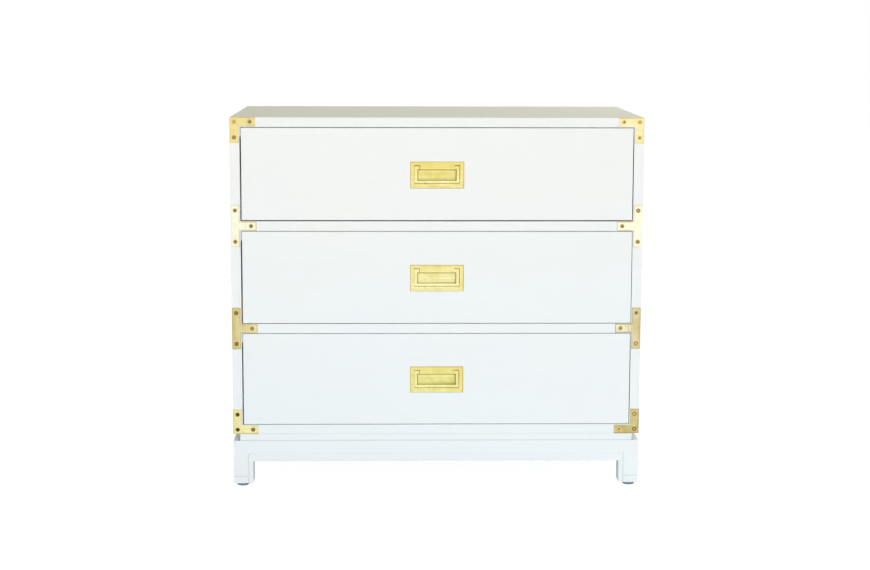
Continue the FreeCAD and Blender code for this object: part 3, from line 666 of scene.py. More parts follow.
@dataclass(frozen=True)
class GlidePlastic(Finish):
    """Grey moulded plastic, scuffed and dusty."""

    body: Colour = srgb(122, 130, 142)
    scuff: Colour = srgb(176, 182, 190)
    scuff_share: float = 0.7
    relief: float = 0.0001

    def paint(self, shader: Shader) -> None:
        """Cloud the grey with scuffs and grit.

        Args:
            shader: The material's node tree.
        """
        cloud = shader.noise(shader.place(), scale=90, detail=4, distortion=0.6)
        grit = shader.noise(shader.place(), scale=900)
        scuffs = cloud.between(0.42, 0.68) * self.scuff_share
        shader.surface(Base_Color=shader.mix(scuffs, self.body, self.scuff),
                       Roughness=0.45 + 0.2 * cloud, Specular_Ior_Level=0.4,
                       Normal=shader.bump(grit * 0.5 + cloud * 0.5, self.relief))


@dataclass(frozen=True)
class PaleFloor(Finish):
    """A floor that shows as white with soft shadows, and lights the chest as plain pale paint."""

    glow: Colour = (0.96, 0.96, 0.985)
    shadow: Colour = (0.13, 0.13, 0.13)
    plain: Colour = (0.80, 0.84, 0.87)

    def paint(self, shader: Shader) -> None:
        """Show a glow that takes shadows, and light with plain paint.

        Args:
            shader: The material's node tree.
        """
        glow = shader.add("Emission", inputs={"Color": self.glow, "Strength": 1})
        shadow = shader.add("BsdfDiffuse", inputs={"Color": self.shadow})
        shown = shader.add("AddShader", inputs={0: glow, 1: shadow})
        plain = shader.add("BsdfDiffuse", inputs={"Color": self.plain})
        shader.finish(shader.add("MixShader", inputs={0: shader.seen(), 1: plain, 2: shown}))


# ---------------------------------------------------------------- mesh work


class Form:
    """A closed mesh in the making, in millimetres in the chest's own frame."""

    INNER: ClassVar[str] = "radius_and_core"
    OUTER: ClassVar[str] = "face_and_rim"
    ROUND_STEPS: ClassVar[int] = 5
    FINE: ClassVar[float] = 1e-3
    FLAT: ClassVar[float] = 0.5

    def __init__(self) -> None:
        """Start with nothing."""
        self.mesh = bmesh.new()

    def slab(self, outline: Sequence[Spot], front: float, back: float) -> "Form":
        """Add a plate with an outline seen from the front.

        Args:
            outline: Corners of the plate as x and z.
            front: The y of its front face.
            back: The y of its back face.

        Returns:
            This form.
        """
        corners = [self.mesh.verts.new((x, front, z)) for x, z in outline]
        face = self.mesh.faces.new(corners)
        grown = bmesh.ops.extrude_face_region(self.mesh, geom=[face])["geom"]
        moved = [item for item in grown if isinstance(item, bmesh.types.BMVert)]
        bmesh.ops.translate(self.mesh, vec=(0, back - front, 0), verts=moved)
        self.outward()
        return self

    def turned(self, profile: Sequence[Spot], steps: int) -> "Form":
        """Add a solid of revolution about the Z axis.

        Args:
            profile: Points as radius and height, from the axis round to the axis.
            steps: How many facets the circle has.

        Returns:
            This form.
        """
        points = [self.mesh.verts.new((radius, 0, height)) for radius, height in profile]
        lines = [self.mesh.edges.new(pair) for pair in zip(points, points[1:])]
        bmesh.ops.spin(self.mesh, geom=points + lines, cent=(0, 0, 0), axis=(0, 0, 1),
                       angle=math.tau, steps=steps, use_merge=True)
        bmesh.ops.remove_doubles(self.mesh, verts=self.mesh.verts[:], dist=self.FINE)
        self.outward()
        return self

    def outward(self) -> None:
        """Turn every face outwards."""
        bmesh.ops.recalc_face_normals(self.mesh, faces=self.mesh.faces[:])

    def soften(self, amount: float, chosen: EdgeTest, steps: int = ROUND_STEPS) -> "Form":
        """Round the chosen edges.

        Args:
            amount: The rounding's radius.
            chosen: Tells which edges are rounded.
            steps: How many facets the rounding has.

        Returns:
            This form.
        """
        edges = [edge for edge in self.mesh.edges if chosen(edge)]
        bmesh.ops.bevel(self.mesh, geom=edges, offset=amount, offset_type="OFFSET",
                        segments=steps, profile=0.5, affect="EDGES", material=-1,
                        clamp_overlap=True)
        return self

    def move(self, matrix: Matrix) -> "Form":
        """Place the form.

        Args:
            matrix: Where it goes. One that mirrors doesn't turn it inside out.

        Returns:
            This form.
        """
        bmesh.ops.transform(self.mesh, matrix=matrix, verts=self.mesh.verts[:])
        if matrix.determinant() < 0:
            self.outward()
        return self

    def add(self, other: "Form", matrix: Matrix = Matrix.Identity(4)) -> "Form":
        """Add a copy of another form.

        Args:
            other: The form to copy.
            matrix: Where the copy goes.

        Returns:
            This form.
        """
        sketch = bpy.data.meshes.new("copy")
        other.mesh.to_mesh(sketch)
        sketch.transform(matrix)
        self.mesh.from_mesh(sketch)
        bpy.data.meshes.remove(sketch)
        return self

    def combine(self, tool: "Form", operation: str = "DIFFERENCE") -> "Form":
        """Cut a tool out of this form, or fuse it on.

        Args:
            tool: The other form.
            operation: DIFFERENCE or UNION.

        Returns:
            This form.
        """
        pair = []
        for form in (self, tool):
            mesh = bpy.data.meshes.new("part")
            form.mesh.to_mesh(mesh)
            pair.append(bpy.data.objects.new("part", mesh))
            bpy.context.scene.collection.objects.link(pair[-1])
        blank, cutter = pair
        joint = blank.modifiers.new("joint", "BOOLEAN")
        joint.operation = operation
        joint.solver = "EXACT"
        joint.object = cutter
        shown = bpy.context.evaluated_depsgraph_get()
        done = bpy.data.meshes.new_from_object(blank.evaluated_get(shown))
        self.mesh.clear()
        self.mesh.from_mesh(done)
        for item in pair:
            bpy.data.meshes.remove(item.data)
        bpy.data.meshes.remove(done)
        bmesh.ops.remove_doubles(self.mesh, verts=self.mesh.verts[:], dist=self.FINE)
        bmesh.ops.dissolve_limit(self.mesh, angle_limit=math.radians(self.FLAT),
                                 verts=self.mesh.verts[:], edges=self.mesh.edges[:])
        return self

    def piece(self, name: str, body: str, slot: Slot, material: bpy.types.Material,
              stands_for: Iterable[str] = ()) -> None:
        """Finish the form as one piece of the chest, and report it.

        Args:
            name: The piece's name.
            body: The body of the frame that it moves with.
            slot: The record's slot that its finish comes from; not used.
            material: Its material.
            stands_for: The frame's nodes that it is shown instead of.
        """
        self.move(Matrix.Scale(MM, 4))
        loose = sum(not edge.is_manifold for edge in self.mesh.edges)
        mesh = bpy.data.meshes.new(name)
        self.mesh.to_mesh(mesh)
        self.mesh.free()
        mesh.shade_smooth()
        mesh.materials.append(material)
        item = bpy.data.objects.new(name, mesh)
        bpy.context.scene.collection.objects.link(item)
        even = item.modifiers.new("even normals", "WEIGHTED_NORMAL")
        even.keep_sharp = True
        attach(item, body)
        if stands_for:
            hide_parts(*stands_for)
        log.info("%s: %d faces on %s, %d open edges", name, len(mesh.polygons), body, loose)


def sharper(degrees: float) -> EdgeTest:
    """Return a test for edges where the faces turn by more than an angle."""
    limit = math.radians(degrees)
    return lambda edge: len(edge.link_faces) == 2 and edge.calc_face_angle() > limit


def both_ends(test: Callable[[Vector], bool]) -> EdgeTest:
    """Return a test for edges of which both ends pass."""
    return lambda edge: all(test(vertex.co) for vertex in edge.verts)


def run(edge: bmesh.types.BMEdge) -> Vector:
    """Return the way from one end of an edge to the other."""
    return edge.verts[1].co - edge.verts[0].co


def dress(material: bpy.types.Material, nodes: Iterable[str]) -> None:
    """Give nodes of the frame their material.

    Args:
        material: The material.
        nodes: The nodes' names.
    """
    for name in nodes:
        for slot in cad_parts[name].material_slots:
            slot.material = material
        log.info("%s: dressed in %s", name, material.name)


def at(x: float, y: float, z: float) -> Matrix:
    """Return the matrix that moves a form there."""
    return Matrix.Translation((x, y, z))


def turn(degrees: float, axis: str) -> Matrix:
    """Return the matrix that turns a form about an axis."""
    return Matrix.Rotation(math.radians(degrees), 4, axis)


def rectangle(low: Spot, high: Spot) -> list[Spot]:
    """Return the corners of an upright rectangle."""
    return [low, (high[0], low[1]), high, (low[0], high[1])]


# ---------------------------------------------------------------- case


@dataclass
class Case:
    """The white case: its boards, rails, inner strips and back."""

    side_face: float = 387.5
    guide_thicknesses: tuple[Spot, Spot, Spot] = ((1.9, 0.9), (2.2, 0.6), (2.2, 1.3))
    guide_height: float = 19.0
    guide_front: float = -224.5
    guide_rear: float = -209.5
    guide_edge: float = 0.25
    top_gloss: float = 0.50
    top_level: float = 0.18
    opening_tops: tuple[float, float, float] = (312.0, 516.5, 721.0)
    along_x: tuple[str, ...] = ("bottom_panel", "divider_rail_lower", "divider_rail_upper")
    upright: tuple[str, ...] = ("side_panel_left", "side_panel_right")
    strips: tuple[str, ...] = ("guides_bottom", "runners_middle", "runners_top",
                               "kickers_bottom", "kickers_middle", "kickers_top")

    def dress(self) -> None:
        """Give the case's boards their finishes."""
        dress(Lacquer(Axis.X).material("lacquer_across"), self.along_x)
        top = Lacquer(Axis.X, gloss=self.top_gloss, level=self.top_level)
        dress(top.material("lacquer_top"), ["top_panel"])
        dress(Lacquer(Axis.Z).material("lacquer_upright"), self.upright)
        dress(Hardwood(Axis.X).material("hardwood_rails"), ["rear_rails"])
        dress(Hardwood(Axis.Y).material("hardwood_strips"), self.strips)
        dress(Plywood(Axis.Y).material("plywood_back"), ["back_panel"])
        self.front_guides()

    def front_guides(self) -> None:
        """Model the thin strips that keep the top corners of each drawer front off the sides."""
        strips = Form()
        for top, pair in zip(self.opening_tops, self.guide_thicknesses):
            for side, thickness in zip((-1, 1), pair):
                outer, inner = side * self.side_face, side * (self.side_face - thickness)
                left, right = sorted((outer, inner))
                strip = Form().slab(rectangle((left, top - self.guide_height), (right, top)),
                                    self.guide_front, self.guide_rear)
                strips.add(strip.soften(self.guide_edge, sharper(30), steps=2))
        finish = Lacquer(Axis.Z).material("lacquer_guides")
        strips.piece("front_guides", "case", Slot.LACQUER, finish)


@dataclass
class Brackets:
    """Flush brass brackets let into the front edges of the case, with their screws."""

    half_case: float = 406.5
    face: float = -228.5
    case_base: float = 107.5
    case_top: float = 740.0
    rails: tuple[float, float] = (321.5, 526.0)
    thickness: float = 1.5
    width: float = 17.5
    corner_arm: float = 50.0
    tee_bar: float = 83.0
    tee_arm: float = 50.5
    corner_round: float = 1.5
    soft_edge: float = 0.35
    hole_radius: float = 4.15
    hole_mouth: float = 0.35
    hole_steps: int = 48
    screw_end: float = 10.5
    brasses: ClassVar[dict[str, BracketBrass]] = {
        "corner_top_left": BracketBrass(
            srgb(237, 227, 170), srgb(222, 202, 122), srgb(218, 172, 84),
            outer=srgb(247, 222, 138), outer_share=0.55),
        "corner_top_right": BracketBrass(
            srgb(244, 239, 200), srgb(233, 216, 147), srgb(210, 174, 92),
            outer=srgb(244, 225, 147), outer_share=0.45),
        "tee_upper": BracketBrass(
            srgb(244, 245, 228), srgb(241, 233, 186), srgb(222, 198, 114), Axis.Z,
            outer=srgb(247, 247, 228), outer_share=0.6),
        "tee_lower_left": BracketBrass(
            srgb(251, 246, 194), srgb(206, 192, 129), srgb(210, 186, 104), Axis.Z,
            outer=srgb(188, 173, 106), outer_share=0.7),
        "tee_lower_right": BracketBrass(
            srgb(243, 242, 209), srgb(206, 193, 143), srgb(192, 164, 92), Axis.Z,
            outer=srgb(196, 176, 113), outer_share=0.6),
        "corner_bottom_left": BracketBrass(
            srgb(246, 243, 187), srgb(227, 212, 136), srgb(190, 171, 100),
            outer=srgb(222, 207, 132), outer_share=0.4),
        "corner_bottom_right": BracketBrass(
            srgb(223, 209, 149), srgb(179, 162, 101), srgb(152, 122, 58),
            outer=srgb(200, 179, 114), outer_share=0.3),
    }
    ages: ClassVar[dict[str, tuple[Age, Age, Age]]] = {
        "corner_top_left": (Age.GOLDEN, Age.PITTED, Age.OLIVE),
        "corner_bottom_left": (Age.BLACK, Age.BROWN, Age.BLACK),
        "tee_lower_left": (Age.BROWN, Age.BROWN, Age.OLIVE),
        "tee_upper_left": (Age.PITTED, Age.PITTED, Age.PITTED),
        "corner_top_right": (Age.GOLDEN, Age.CLEAN, Age.CLEAN),
        "corner_bottom_right": (Age.RINGED, Age.CLEAN, Age.BRIGHT),
        "tee_lower_right": (Age.PITTED, Age.BRIGHT, Age.WORN),
        "tee_upper_right": (Age.RINGED, Age.OLIVE, Age.PITTED),
    }

    def outline(self, tee: bool) -> list[Spot]:
        """Return the corners of a bracket that starts at the case's left edge.

        Args:
            tee: Whether it is a tee, centred on its rail, or a corner bracket below the case's top.

        Returns:
            Its corners as x and z.
        """
        wide, half = self.width, self.width / 2
        if not tee:
            arm = self.corner_arm
            return [(0, 0), (arm, 0), (arm, -wide), (wide, -wide), (wide, -arm), (0, -arm)]
        bar, arm = self.tee_bar / 2, self.tee_arm
        return [(0, bar), (wide, bar), (wide, half), (arm, half),
                (arm, -half), (wide, -half), (wide, -bar), (0, -bar)]

    def bars(self) -> tuple[tuple[float, float, float, float], ...]:
        """Return how far in from the side, and how far up and down, each bar of a tee reaches."""
        wide = self.width
        return (0, wide, -wide, self.tee_bar / 2), (0, self.tee_arm, -wide, wide / 2)

    def screws(self, tee: bool) -> list[Spot]:
        """Place a bracket's three screws.

        Args:
            tee: Whether the bracket is a tee.

        Returns:
            The screws' places as x and z.
        """
        half = self.width / 2
        if tee:
            up = self.tee_bar / 2 - self.screw_end
            return [(half, up), (half, -up), (self.tee_arm - self.screw_end, 0)]
        out = self.corner_arm - self.screw_end
        return [(half, -half), (out, -half), (half, -out)]

    def plate(self, tee: bool) -> Form:
        """Model one bracket with its countersunk holes.

        Args:
            tee: Whether it is a tee.

        Returns:
            The bracket, with its left edge at x 0 and its face at y 0.
        """
        form = Form().slab(self.outline(tee), 0, self.thickness)
        form.soften(self.corner_round, lambda edge: abs(run(edge).y) > self.thickness / 2)
        form.soften(self.soft_edge, both_ends(lambda spot: spot.y < Form.FINE), steps=3)
        inner, mouth = self.hole_radius, self.hole_radius + self.hole_mouth
        through = self.thickness + 1
        profile = [(0, -1), (mouth + 1, -1), (mouth, 0), (inner, self.hole_mouth),
                   (inner - 1, through), (0, through)]
        drill = Form().turned(profile, self.hole_steps).move(turn(-90, "X"))
        for x, z in self.screws(tee):
            form.combine(Form().add(drill, at(x, 0, z)))
        return form

    def sites(self) -> Iterable[tuple[str, bool, Matrix]]:
        """Go through the brackets: on each side the two corners first, and then the two tees.

        Returns:
            Each bracket's node name, whether it is a tee, and its place.
        """
        flat = Matrix.Diagonal((1, 1, -1, 1))
        across = Matrix.Diagonal((-1, 1, 1, 1))
        for side, mirror, hand in (("left", Matrix.Identity(4), -1), ("right", across, 1)):
            edge = hand * self.half_case
            top, base = (at(edge, self.face, z) @ mirror for z in (self.case_top, self.case_base))
            yield f"bracket_corner_top_{side}", False, top
            yield f"bracket_corner_bottom_{side}", False, base @ flat
            for level, height in zip(("lower", "upper"), self.rails):
                yield f"bracket_tee_{level}_{side}", True, at(edge, self.face, height) @ mirror

    def materials(self) -> dict[str, bpy.types.Material]:
        """Make the brackets' materials.

        Returns:
            The materials, by the part of the brackets' names that tells them apart.
        """
        heights = {"corner_top": self.case_top, "corner_bottom": self.case_base,
                   "tee_lower": self.rails[0], "tee_upper": self.rails[1]}
        made = {}
        for key, brass in self.brasses.items():
            height = next(height for label, height in heights.items() if key.startswith(label))
            bars = self.bars() if key.startswith("tee") else ()
            made[key] = replace(brass, height=height * MM, bars=bars).material(f"brass_{key}")
        return made

    def build(self) -> None:
        """Model the eight brackets and their screws."""
        finishes = self.materials()
        shapes = {tee: self.plate(tee) for tee in (False, True)}
        heads, pattern, ages = Form(), Screw().model(), []
        for name, tee, place in self.sites():
            material = next(finish for key, finish in finishes.items() if key in name)
            bracket = Form().add(shapes[tee]).move(place)
            bracket.piece(name + "_brass", "case", Slot.BRASS, material, [name])
            for (x, z), age in zip(self.screws(tee), self.ages[name.removeprefix("bracket_")]):
                spot = place @ Vector((x, 0, z))
                heads.add(pattern, at(*spot) @ turn(Screw.TWIST * len(ages), "Y"))
                ages.append(age)
        Screw().mark(heads, ages)
        finish = ScrewBrass().material("brass_screws")
        heads.piece("bracket_screw_heads", "case", Slot.SCREW, finish, ["bracket_screws"])


@dataclass
class Screw:
    """A countersunk wood screw with a cross slot, whose head lies just under the bracket's face."""

    TWIST: ClassVar[float] = 37.0
    head_radius: float = 4.0
    head_height: float = 2.2
    flank: float = 0.25
    brim: float = 0.1
    dome: float = 0.12
    dome_profile: tuple[Spot, ...] = ((0, 1), (0.5, 0.8), (0.85, 0.3))
    sink: float = 0.3
    shank_radius: float = 1.75
    length: float = 18.0
    tip: float = 4.0
    slot_length: float = 4.6
    slot_width: float = 1.3
    slot_depth: float = 1.3
    slot_round: float = 0.3
    soft_edge: float = 0.1
    steps: int = 40

    def model(self) -> Form:
        """Model one screw, driven in along +Y from the origin.

        Returns:
            The screw.
        """
        top = -self.sink
        head, shank = self.head_radius, self.shank_radius
        dome = [(head * out, top + self.dome * rise) for out, rise in self.dome_profile]
        sides = [(head, top - self.brim), (head, top - self.flank),
                 (shank, top - self.head_height), (shank, self.tip - self.length),
                 (0, -self.length)]
        form = Form().turned(dome + sides, self.steps).move(turn(90, "X"))
        half, wide = self.slot_length / 2, self.slot_width / 2
        deep = self.sink + self.slot_depth
        for low, high in (((-half, -wide), (half, wide)), ((-wide, -half), (wide, half))):
            slot = Form().slab(rectangle(low, high), -1, deep)
            slot.soften(self.slot_round, both_ends(lambda spot: spot.y > deep - Form.FINE), steps=2)
            form.combine(slot)
        return form.soften(self.soft_edge, sharper(40), steps=2)

    def mark(self, heads: Form, ages: Sequence[Age]) -> None:
        """Write each screw's radius and age into UV maps.

        Args:
            heads: All screws, one after another.
            ages: How each has aged, in the same order.
        """
        layers = heads.mesh.loops.layers.uv
        inner, outer = layers.new(Form.INNER), layers.new(Form.OUTER)
        heads.mesh.verts.index_update()
        heads.mesh.verts.ensure_lookup_table()
        each = len(heads.mesh.verts) // len(ages)
        middles = []
        for index in range(len(ages)):
            share = heads.mesh.verts[index * each:(index + 1) * each]
            middles.append(sum((vertex.co for vertex in share), Vector()) / each)
        for face in heads.mesh.faces:
            for loop in face.loops:
                index = loop.vert.index // each
                away = loop.vert.co - middles[index]
                core, over, rim = ages[index].value
                loop[inner].uv = (math.hypot(away.x, away.z) / self.head_radius, core)
                loop[outer].uv = (over, rim)


# ---------------------------------------------------------------- drawers


@dataclass
class Pull:
    """A flush pull: a plate with a channel and a finger well, and the bail that lies in it."""

    opening: Opening
    face: float = -228.5
    plate: Spot = (53.0, 26.2)
    plate_bevel: float = 0.7
    flange: float = 2.5
    cup: tuple[Spot, Spot] = ((-47.2, -19.6), (47.2, 21.7))
    cup_depth: float = 13.0
    channel_half: float = 44.9
    channel_low: float = -16.85
    channel_high: float = 19.4
    channel_depth: float = 4.5
    land: float = 34.1
    well: Spot = (38.5, 11.0)
    well_depth: float = 10.0
    well_round: float = 1.5
    ear_height: float = 15.05
    ear_half: float = 4.35
    ear_depth: float = 6.35
    bail_half: float = 44.2
    bail_low: float = -16.6
    bail_high: float = 18.9
    bail_bar: float = 5.6
    bail_thickness: float = 4.0
    ear_inner: float = 34.6
    ear_base: float = 11.2
    bail_corner: float = 1.5
    crown: float = 1.95
    pin_bore: float = 1.05
    bore_steps: int = 24
    bail_drift: float = -0.40
    soft_edge: float = 0.35

    @property
    def bail_inner(self) -> float:
        """How far the bail's side bars stand from its middle."""
        return self.bail_half - self.bail_bar

    def model_plate(self) -> Form:
        """Model the plate.

        Returns:
            The plate, with its face at y 0.
        """
        half, rise = self.plate
        form = Form().slab(rectangle((-half, -rise), (half, rise)), 0, self.flange)
        form.soften(self.plate_bevel, both_ends(lambda spot: spot.y < Form.FINE), steps=3)
        form.combine(Form().slab(rectangle(*self.cup), self.flange / 2, self.cup_depth), "UNION")
        reach, land, (wide, tall) = self.channel_half, self.land, self.well
        low, high = self.channel_low, self.channel_high
        channel = [(-reach, high), (-land, high), (-land, tall), (land, tall),
                   (land, high), (reach, high), (reach, low), (-reach, low)]
        form.combine(Form().slab(channel, -1, self.channel_depth))
        deep = self.well_depth
        well = Form().slab(rectangle((-wide, -tall), (wide, tall)), 1, deep)
        well.soften(self.well_round, both_ends(lambda spot: spot.y > deep - Form.FINE), steps=8)
        form.combine(well)
        low, high = self.ear_height - self.ear_half, self.ear_height + self.ear_half
        for side in (-1, 1):
            left, right = sorted((side * land, side * reach))
            form.combine(Form().slab(rectangle((left, low), (right, high)), 1, self.ear_depth))
        return form.soften(self.soft_edge, sharper(30), steps=2)

    def model_bail(self) -> Form:
        """Model the bail.

        Returns:
            The bail at rest, with its face at y 0.
        """
        half, inner, ear, base = self.bail_half, self.bail_inner, self.ear_inner, self.ear_base
        low, high, bar_top = self.bail_low, self.bail_high, self.bail_low + self.bail_bar
        right = [(ear, high), (half, high), (half, low)]
        left = [(-x, z) for x, z in reversed(right)]
        under = [(-ear, base), (-inner, base), (-inner, bar_top),
                 (inner, bar_top), (inner, base), (ear, base)]
        form = Form().slab(right + left + under, 0, self.bail_thickness)
        upper = both_ends(lambda spot: spot.z > high - Form.FINE)
        form.soften(self.crown, lambda edge: upper(edge) and abs(run(edge).x) > 1, steps=8)
        form.soften(self.bail_corner, both_ends(
            lambda spot: abs(spot.x) > half - Form.FINE and spot.z < low + Form.FINE))
        bore, past = self.pin_bore, half + 1
        drill = Form().turned([(0, -past), (bore, -past), (bore, past), (0, past)], self.bore_steps)
        middle = self.bail_thickness / 2
        form.combine(drill.move(turn(90, "Y")).move(at(0, middle, high - middle)))
        return form.soften(self.soft_edge, sharper(50), steps=3)

    def build(self, plate_finish: bpy.types.Material, bail_finish: bpy.types.Material) -> None:
        """Model the plate and the bail.

        Args:
            plate_finish: The plate's material.
            bail_finish: The bail's material.
        """
        label = self.opening.label
        plate = self.model_plate().move(at(0, self.face, self.opening.value))
        bail = self.model_bail().move(at(self.bail_drift, self.face, self.opening.value))
        plate.piece(f"pull_plate_{label}_brass", f"drawer_{label}", Slot.BRASS, plate_finish,
                    [f"pull_plate_{label}"])
        bail.piece(f"pull_bail_{label}_brass", f"bail_{label}", Slot.BRASS, bail_finish,
                   [f"pull_bail_{label}"])


@dataclass(frozen=True)
class PullTone:
    """One pull's colours, bright and dull, how much deeper its top turns, and how far the painted
    shadow under its well's upper edge reaches.
    """

    plate: tuple[Colour, Colour]
    bail: tuple[Colour, Colour]
    upper_share: float
    lip_shadow: float


@dataclass
class Drawers:
    """The three drawers with their pulls."""

    plate_rim: Colour = srgb(222, 178, 70)
    plate_rim_width: float = 0.0030
    bail_rim: Colour = srgb(246, 230, 140)
    drift: Triple = (1.7, 0, 0.9)
    pins: ClassVar[Brass] = Brass(srgb(224, 196, 110), srgb(150, 122, 60), srgb(230, 206, 120))
    # Each pull's tone sets how far the painted shadow under its well's upper edge reaches.
    pull_brass: ClassVar[dict[Opening, PullTone]] = {
        Opening.BOTTOM: PullTone(plate=(srgb(242, 239, 172), srgb(217, 207, 116)),
                                 bail=(srgb(246, 243, 180), srgb(232, 220, 132)),
                                 upper_share=0.45, lip_shadow=0.0029),
        Opening.MIDDLE: PullTone(plate=(srgb(245, 241, 184), srgb(222, 210, 129)),
                                 bail=(srgb(250, 245, 193), srgb(237, 223, 146)),
                                 upper_share=0.30, lip_shadow=0.0024),
        Opening.TOP: PullTone(plate=(srgb(240, 233, 168), srgb(216, 202, 114)),
                              bail=(srgb(243, 237, 176), srgb(230, 215, 130)),
                              upper_share=0.75, lip_shadow=0.0019),
    }

    def build(self) -> None:
        """Dress the drawer boxes and model their pulls."""
        side_wood = Hardwood(Axis.Y).material("hardwood_drawer_sides")
        back_wood = Hardwood(Axis.X).material("hardwood_drawer_backs")
        ply = Plywood(Axis.Z).material("plywood_drawer_bottoms")
        pin_brass = self.pins.material("brass_hinge_pins")
        front = Lacquer(Axis.X).material("lacquer_fronts")
        for index, opening in enumerate(Opening):
            label = opening.label
            dress(front, [f"drawer_front_{label}"])
            dress(side_wood, [f"drawer_side_{side}_{label}" for side in ("left", "right")])
            dress(back_wood, [f"drawer_back_{label}"])
            dress(ply, [f"drawer_bottom_{label}"])
            dress(pin_brass, [f"hinge_pins_{label}"])
            tone = self.pull_brass[opening]
            shared = {"drift": tuple(index * step for step in self.drift),
                      "middle": (0, Pull.face * MM, opening.value * MM),
                      "upper_share": tone.upper_share, "lip_shadow": tone.lip_shadow}
            plate = PullBrass(*tone.plate, self.plate_rim, rim_width=self.plate_rim_width, **shared)
            bail = PullBrass(*tone.bail, self.bail_rim, **shared)
            Pull(opening).build(plate.material(f"brass_plate_{label}"),
                                bail.material(f"brass_bail_{label}"))


# ---------------------------------------------------------------- stand


@dataclass
class Stand:
    """The plinth, the moulded stand and its glides."""

    legs: tuple[str, ...] = ("leg_front_left", "leg_front_right", "leg_rear_left", "leg_rear_right")
    glide_radius: float = 12.0
    glide_height: float = 6.5
    glide_round: float = 2.0
    glide_dish: float = 1.2
    dish_span: Spot = (0.45, 0.55)
    collar_inset: float = 0.5
    collar_span: Spot = (0.8, 0.3)
    arc_steps: int = 6
    glide_steps: int = 56
    glide_place: Spot = (389.5, 211.5)
    # Painted shade: the first darkens the plinth deep into its setback, the second the legs and
    # side aprons under the overhang of the case and plinth.
    recess: ClassVar[dict[str, float]] = {"crease_shade_reach": 0.014, "crease_shade_share": 0.8}
    ledge: ClassVar[dict[str, float | Colour]] = {
        "crease_shade": srgb(92, 94, 90), "crease_shade_reach": 0.008, "crease_shade_share": 0.75}

    def build(self) -> None:
        """Dress the stand and model its glides."""
        finished = (
            (Lacquer(Axis.X), "lacquer_aprons_across", ["apron_front", "apron_rear"]),
            (Lacquer(Axis.Y, **self.ledge), "lacquer_aprons_along", ["apron_left", "apron_right"]),
            (Lacquer(Axis.X, **self.recess), "lacquer_plinth_across",
             ["plinth_front", "plinth_rear"]),
            (Lacquer(Axis.Y, **self.recess), "lacquer_plinth_along", ["plinth_ends"]),
            (Lacquer(Axis.Z, **self.ledge), "lacquer_legs", self.legs),
            (Hardwood(Axis.X), "hardwood_blocks", ["corner_blocks"]),
        )
        for finish, name, nodes in finished:
            dress(finish.material(name), nodes)
        self.glides()

    def glides(self) -> None:
        """Turn the four glides, each rounded under and a little hollow in its middle."""
        radius, rise, curve = self.glide_radius, self.glide_height, self.glide_round
        quarter = [math.tau / 4 * step / self.arc_steps for step in range(self.arc_steps + 1)]
        arc = [(radius - curve + curve * math.sin(angle), curve - curve * math.cos(angle))
               for angle in quarter]
        inner, outer = (radius * share for share in self.dish_span)
        foot = [(0, self.glide_dish), (inner, self.glide_dish), (outer, 0)]
        low, high = (rise - drop for drop in self.collar_span)
        neck = radius - self.collar_inset
        collar = [(radius, low), (neck, high), (neck, rise), (0, rise)]
        glide = Form().turned(foot + arc + collar, self.glide_steps)
        four = Form()
        x, y = self.glide_place
        for place in ((-x, -y), (x, -y), (-x, y), (x, y)):
            four.add(glide, at(*place, 0))
        plastic = GlidePlastic().material("glide_plastic")
        four.piece("foot_glides_moulded", "case", Slot.GLIDE, plastic, ["foot_glides"])


# ---------------------------------------------------------------- studio


@dataclass(frozen=True)
class Lamp:
    """A soft rectangular lamp that faces the chest's middle."""

    name: str
    spot: Triple
    size: Spot
    power: float
    colour: Colour = (1.0, 1.0, 1.0)
    mirrored: bool = False
    aim: Triple = (0, 0, 0.4)

    def hang(self) -> None:
        """Hang the lamp."""
        light = bpy.data.lights.new(self.name, "AREA")
        light.shape = "RECTANGLE"
        light.size, light.size_y = self.size
        light.energy, light.color = self.power, self.colour
        lamp = bpy.data.objects.new(self.name, light)
        lamp.location = self.spot
        lamp.visible_glossy = self.mirrored
        way = Vector(self.aim) - Vector(self.spot)
        lamp.rotation_euler = way.to_track_quat("-Z", "Y").to_euler()
        bpy.context.scene.collection.objects.link(lamp)


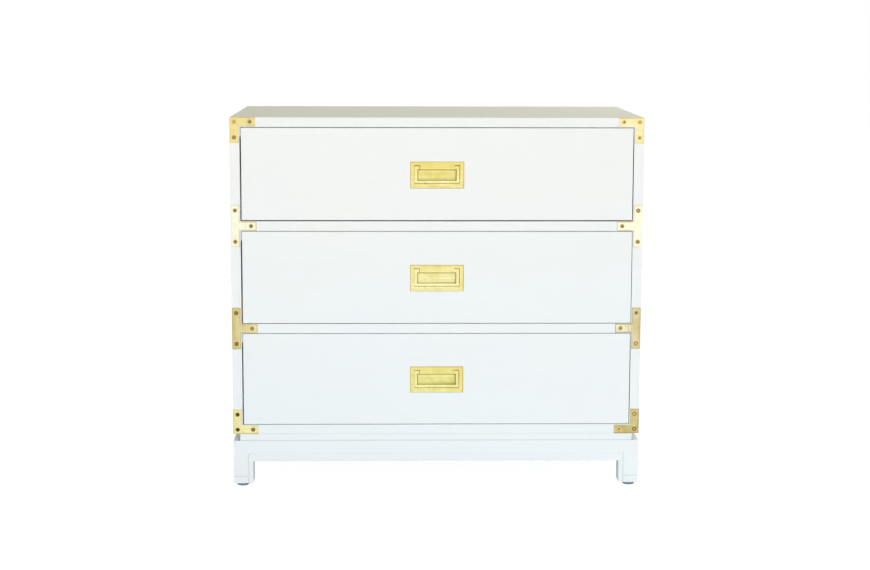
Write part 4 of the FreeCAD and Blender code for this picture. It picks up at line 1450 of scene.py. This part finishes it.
@dataclass
class Studio:
    """The floor, the soft light and the camera."""

    floor_reach: float = 30.0
    floor_cells: int = 8
    eye: Triple = (-0.0889, -3.8331, 0.9331)
    pitch: float = 8.274
    yaw: float = 1.353
    roll: float = 0.167
    lens: float = 76.03
    horizon: Colour = (0.45, 0.47, 0.50)
    ceiling: Colour = (0.24, 0.225, 0.04)
    sky_span: Spot = (0.1, 0.9)
    lamps: ClassVar[tuple[Lamp, ...]] = (
        Lamp("front_soft", (-0.2, -5.2, 1.7), (3.6, 2.4), 118.0, (0.98, 0.954, 1.071)),
        Lamp("front_low", (0.3, -4.6, 0.35), (3.2, 0.6), 26.0, (0.92, 0.97, 1.12)),
        Lamp("front_sheen", (0.6, -4.8, 0.7), (2.2, 1.2), 5.0, (1.0, 1.0, 0.9), mirrored=True),
        Lamp("left_fill", (-4.2, -0.8, 1.5), (2.4, 2.4), 20.0),
        Lamp("right_fill", (2.6, 0.3, 1.9), (1.6, 1.6), 18.0, (1.0, 0.99, 0.95)),
        Lamp("right_near", (1.7, 0.2, 1.5), (0.8, 0.8), 6.0, (1.0, 0.99, 1.0)),
        Lamp("back_fill", (0.0, 5.0, 1.8), (3.0, 2.4), 60.0),
    )

    def build(self) -> None:
        """Set up the studio."""
        self.backdrop()
        self.floor()
        for lamp in self.lamps:
            lamp.hang()
        self.camera()
        bpy.context.scene.view_settings.view_transform = "Standard"

    def backdrop(self) -> None:
        """Make a world that shows white, and lights more from the sides than from above."""
        world = bpy.data.worlds.new("studio")
        bpy.context.scene.world = world
        world.use_nodes = True
        shader = Shader(world.node_tree)
        direction = shader.add("TexCoord", output="Generated")
        height = shader.add("SeparateXYZ", inputs={0: direction}, output="Z")
        light = shader.mix(height.between(*self.sky_span), self.horizon, self.ceiling)
        ambient = shader.add("Background", inputs={"Color": light, "Strength": 1.0})
        white = shader.add("Background", inputs={"Color": (1, 1, 1), "Strength": 1.0})
        shader.finish(shader.add("MixShader", inputs={0: shader.seen(), 1: ambient, 2: white}),
                      "OutputWorld")

    def floor(self) -> None:
        """Lay a pale floor that keeps the shadow under the chest."""
        sheet = bmesh.new()
        cells = self.floor_cells
        bmesh.ops.create_grid(sheet, x_segments=cells, y_segments=cells, size=self.floor_reach)
        mesh = bpy.data.meshes.new("floor")
        sheet.to_mesh(mesh)
        sheet.free()
        floor = bpy.data.objects.new("floor", mesh)
        bpy.context.scene.collection.objects.link(floor)
        mesh.materials.append(PaleFloor().material("pale_floor"))
        floor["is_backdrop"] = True

    def camera(self) -> None:
        """Place the camera."""
        lens = bpy.data.cameras.new("camera")
        lens.sensor_fit = "HORIZONTAL"
        lens.lens = self.lens
        camera = bpy.data.objects.new("camera", lens)
        aim = turn(-self.yaw, "Z") @ turn(90 - self.pitch, "X") @ turn(self.roll, "Z")
        camera.matrix_world = at(*self.eye) @ aim
        bpy.context.scene.collection.objects.link(camera)
        bpy.context.scene.camera = camera


def write_sizes() -> None:
    """Work out the boxes of the frame and of the dressed chest as plain lists."""
    boxes = {"cad": CAD_BOX, "visual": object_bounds()}
    plain = {key: [list(corner) for corner in box] for key, box in boxes.items()}


def main() -> None:
    """Build and dress the chest, and set up the studio."""
    logging.basicConfig(level=logging.INFO, format="%(name)s: %(message)s")
    Case().dress()
    Brackets().build()
    Drawers().build()
    Stand().build()
    Studio().build()
    write_sizes()


if __name__ == "__main__":
    main()
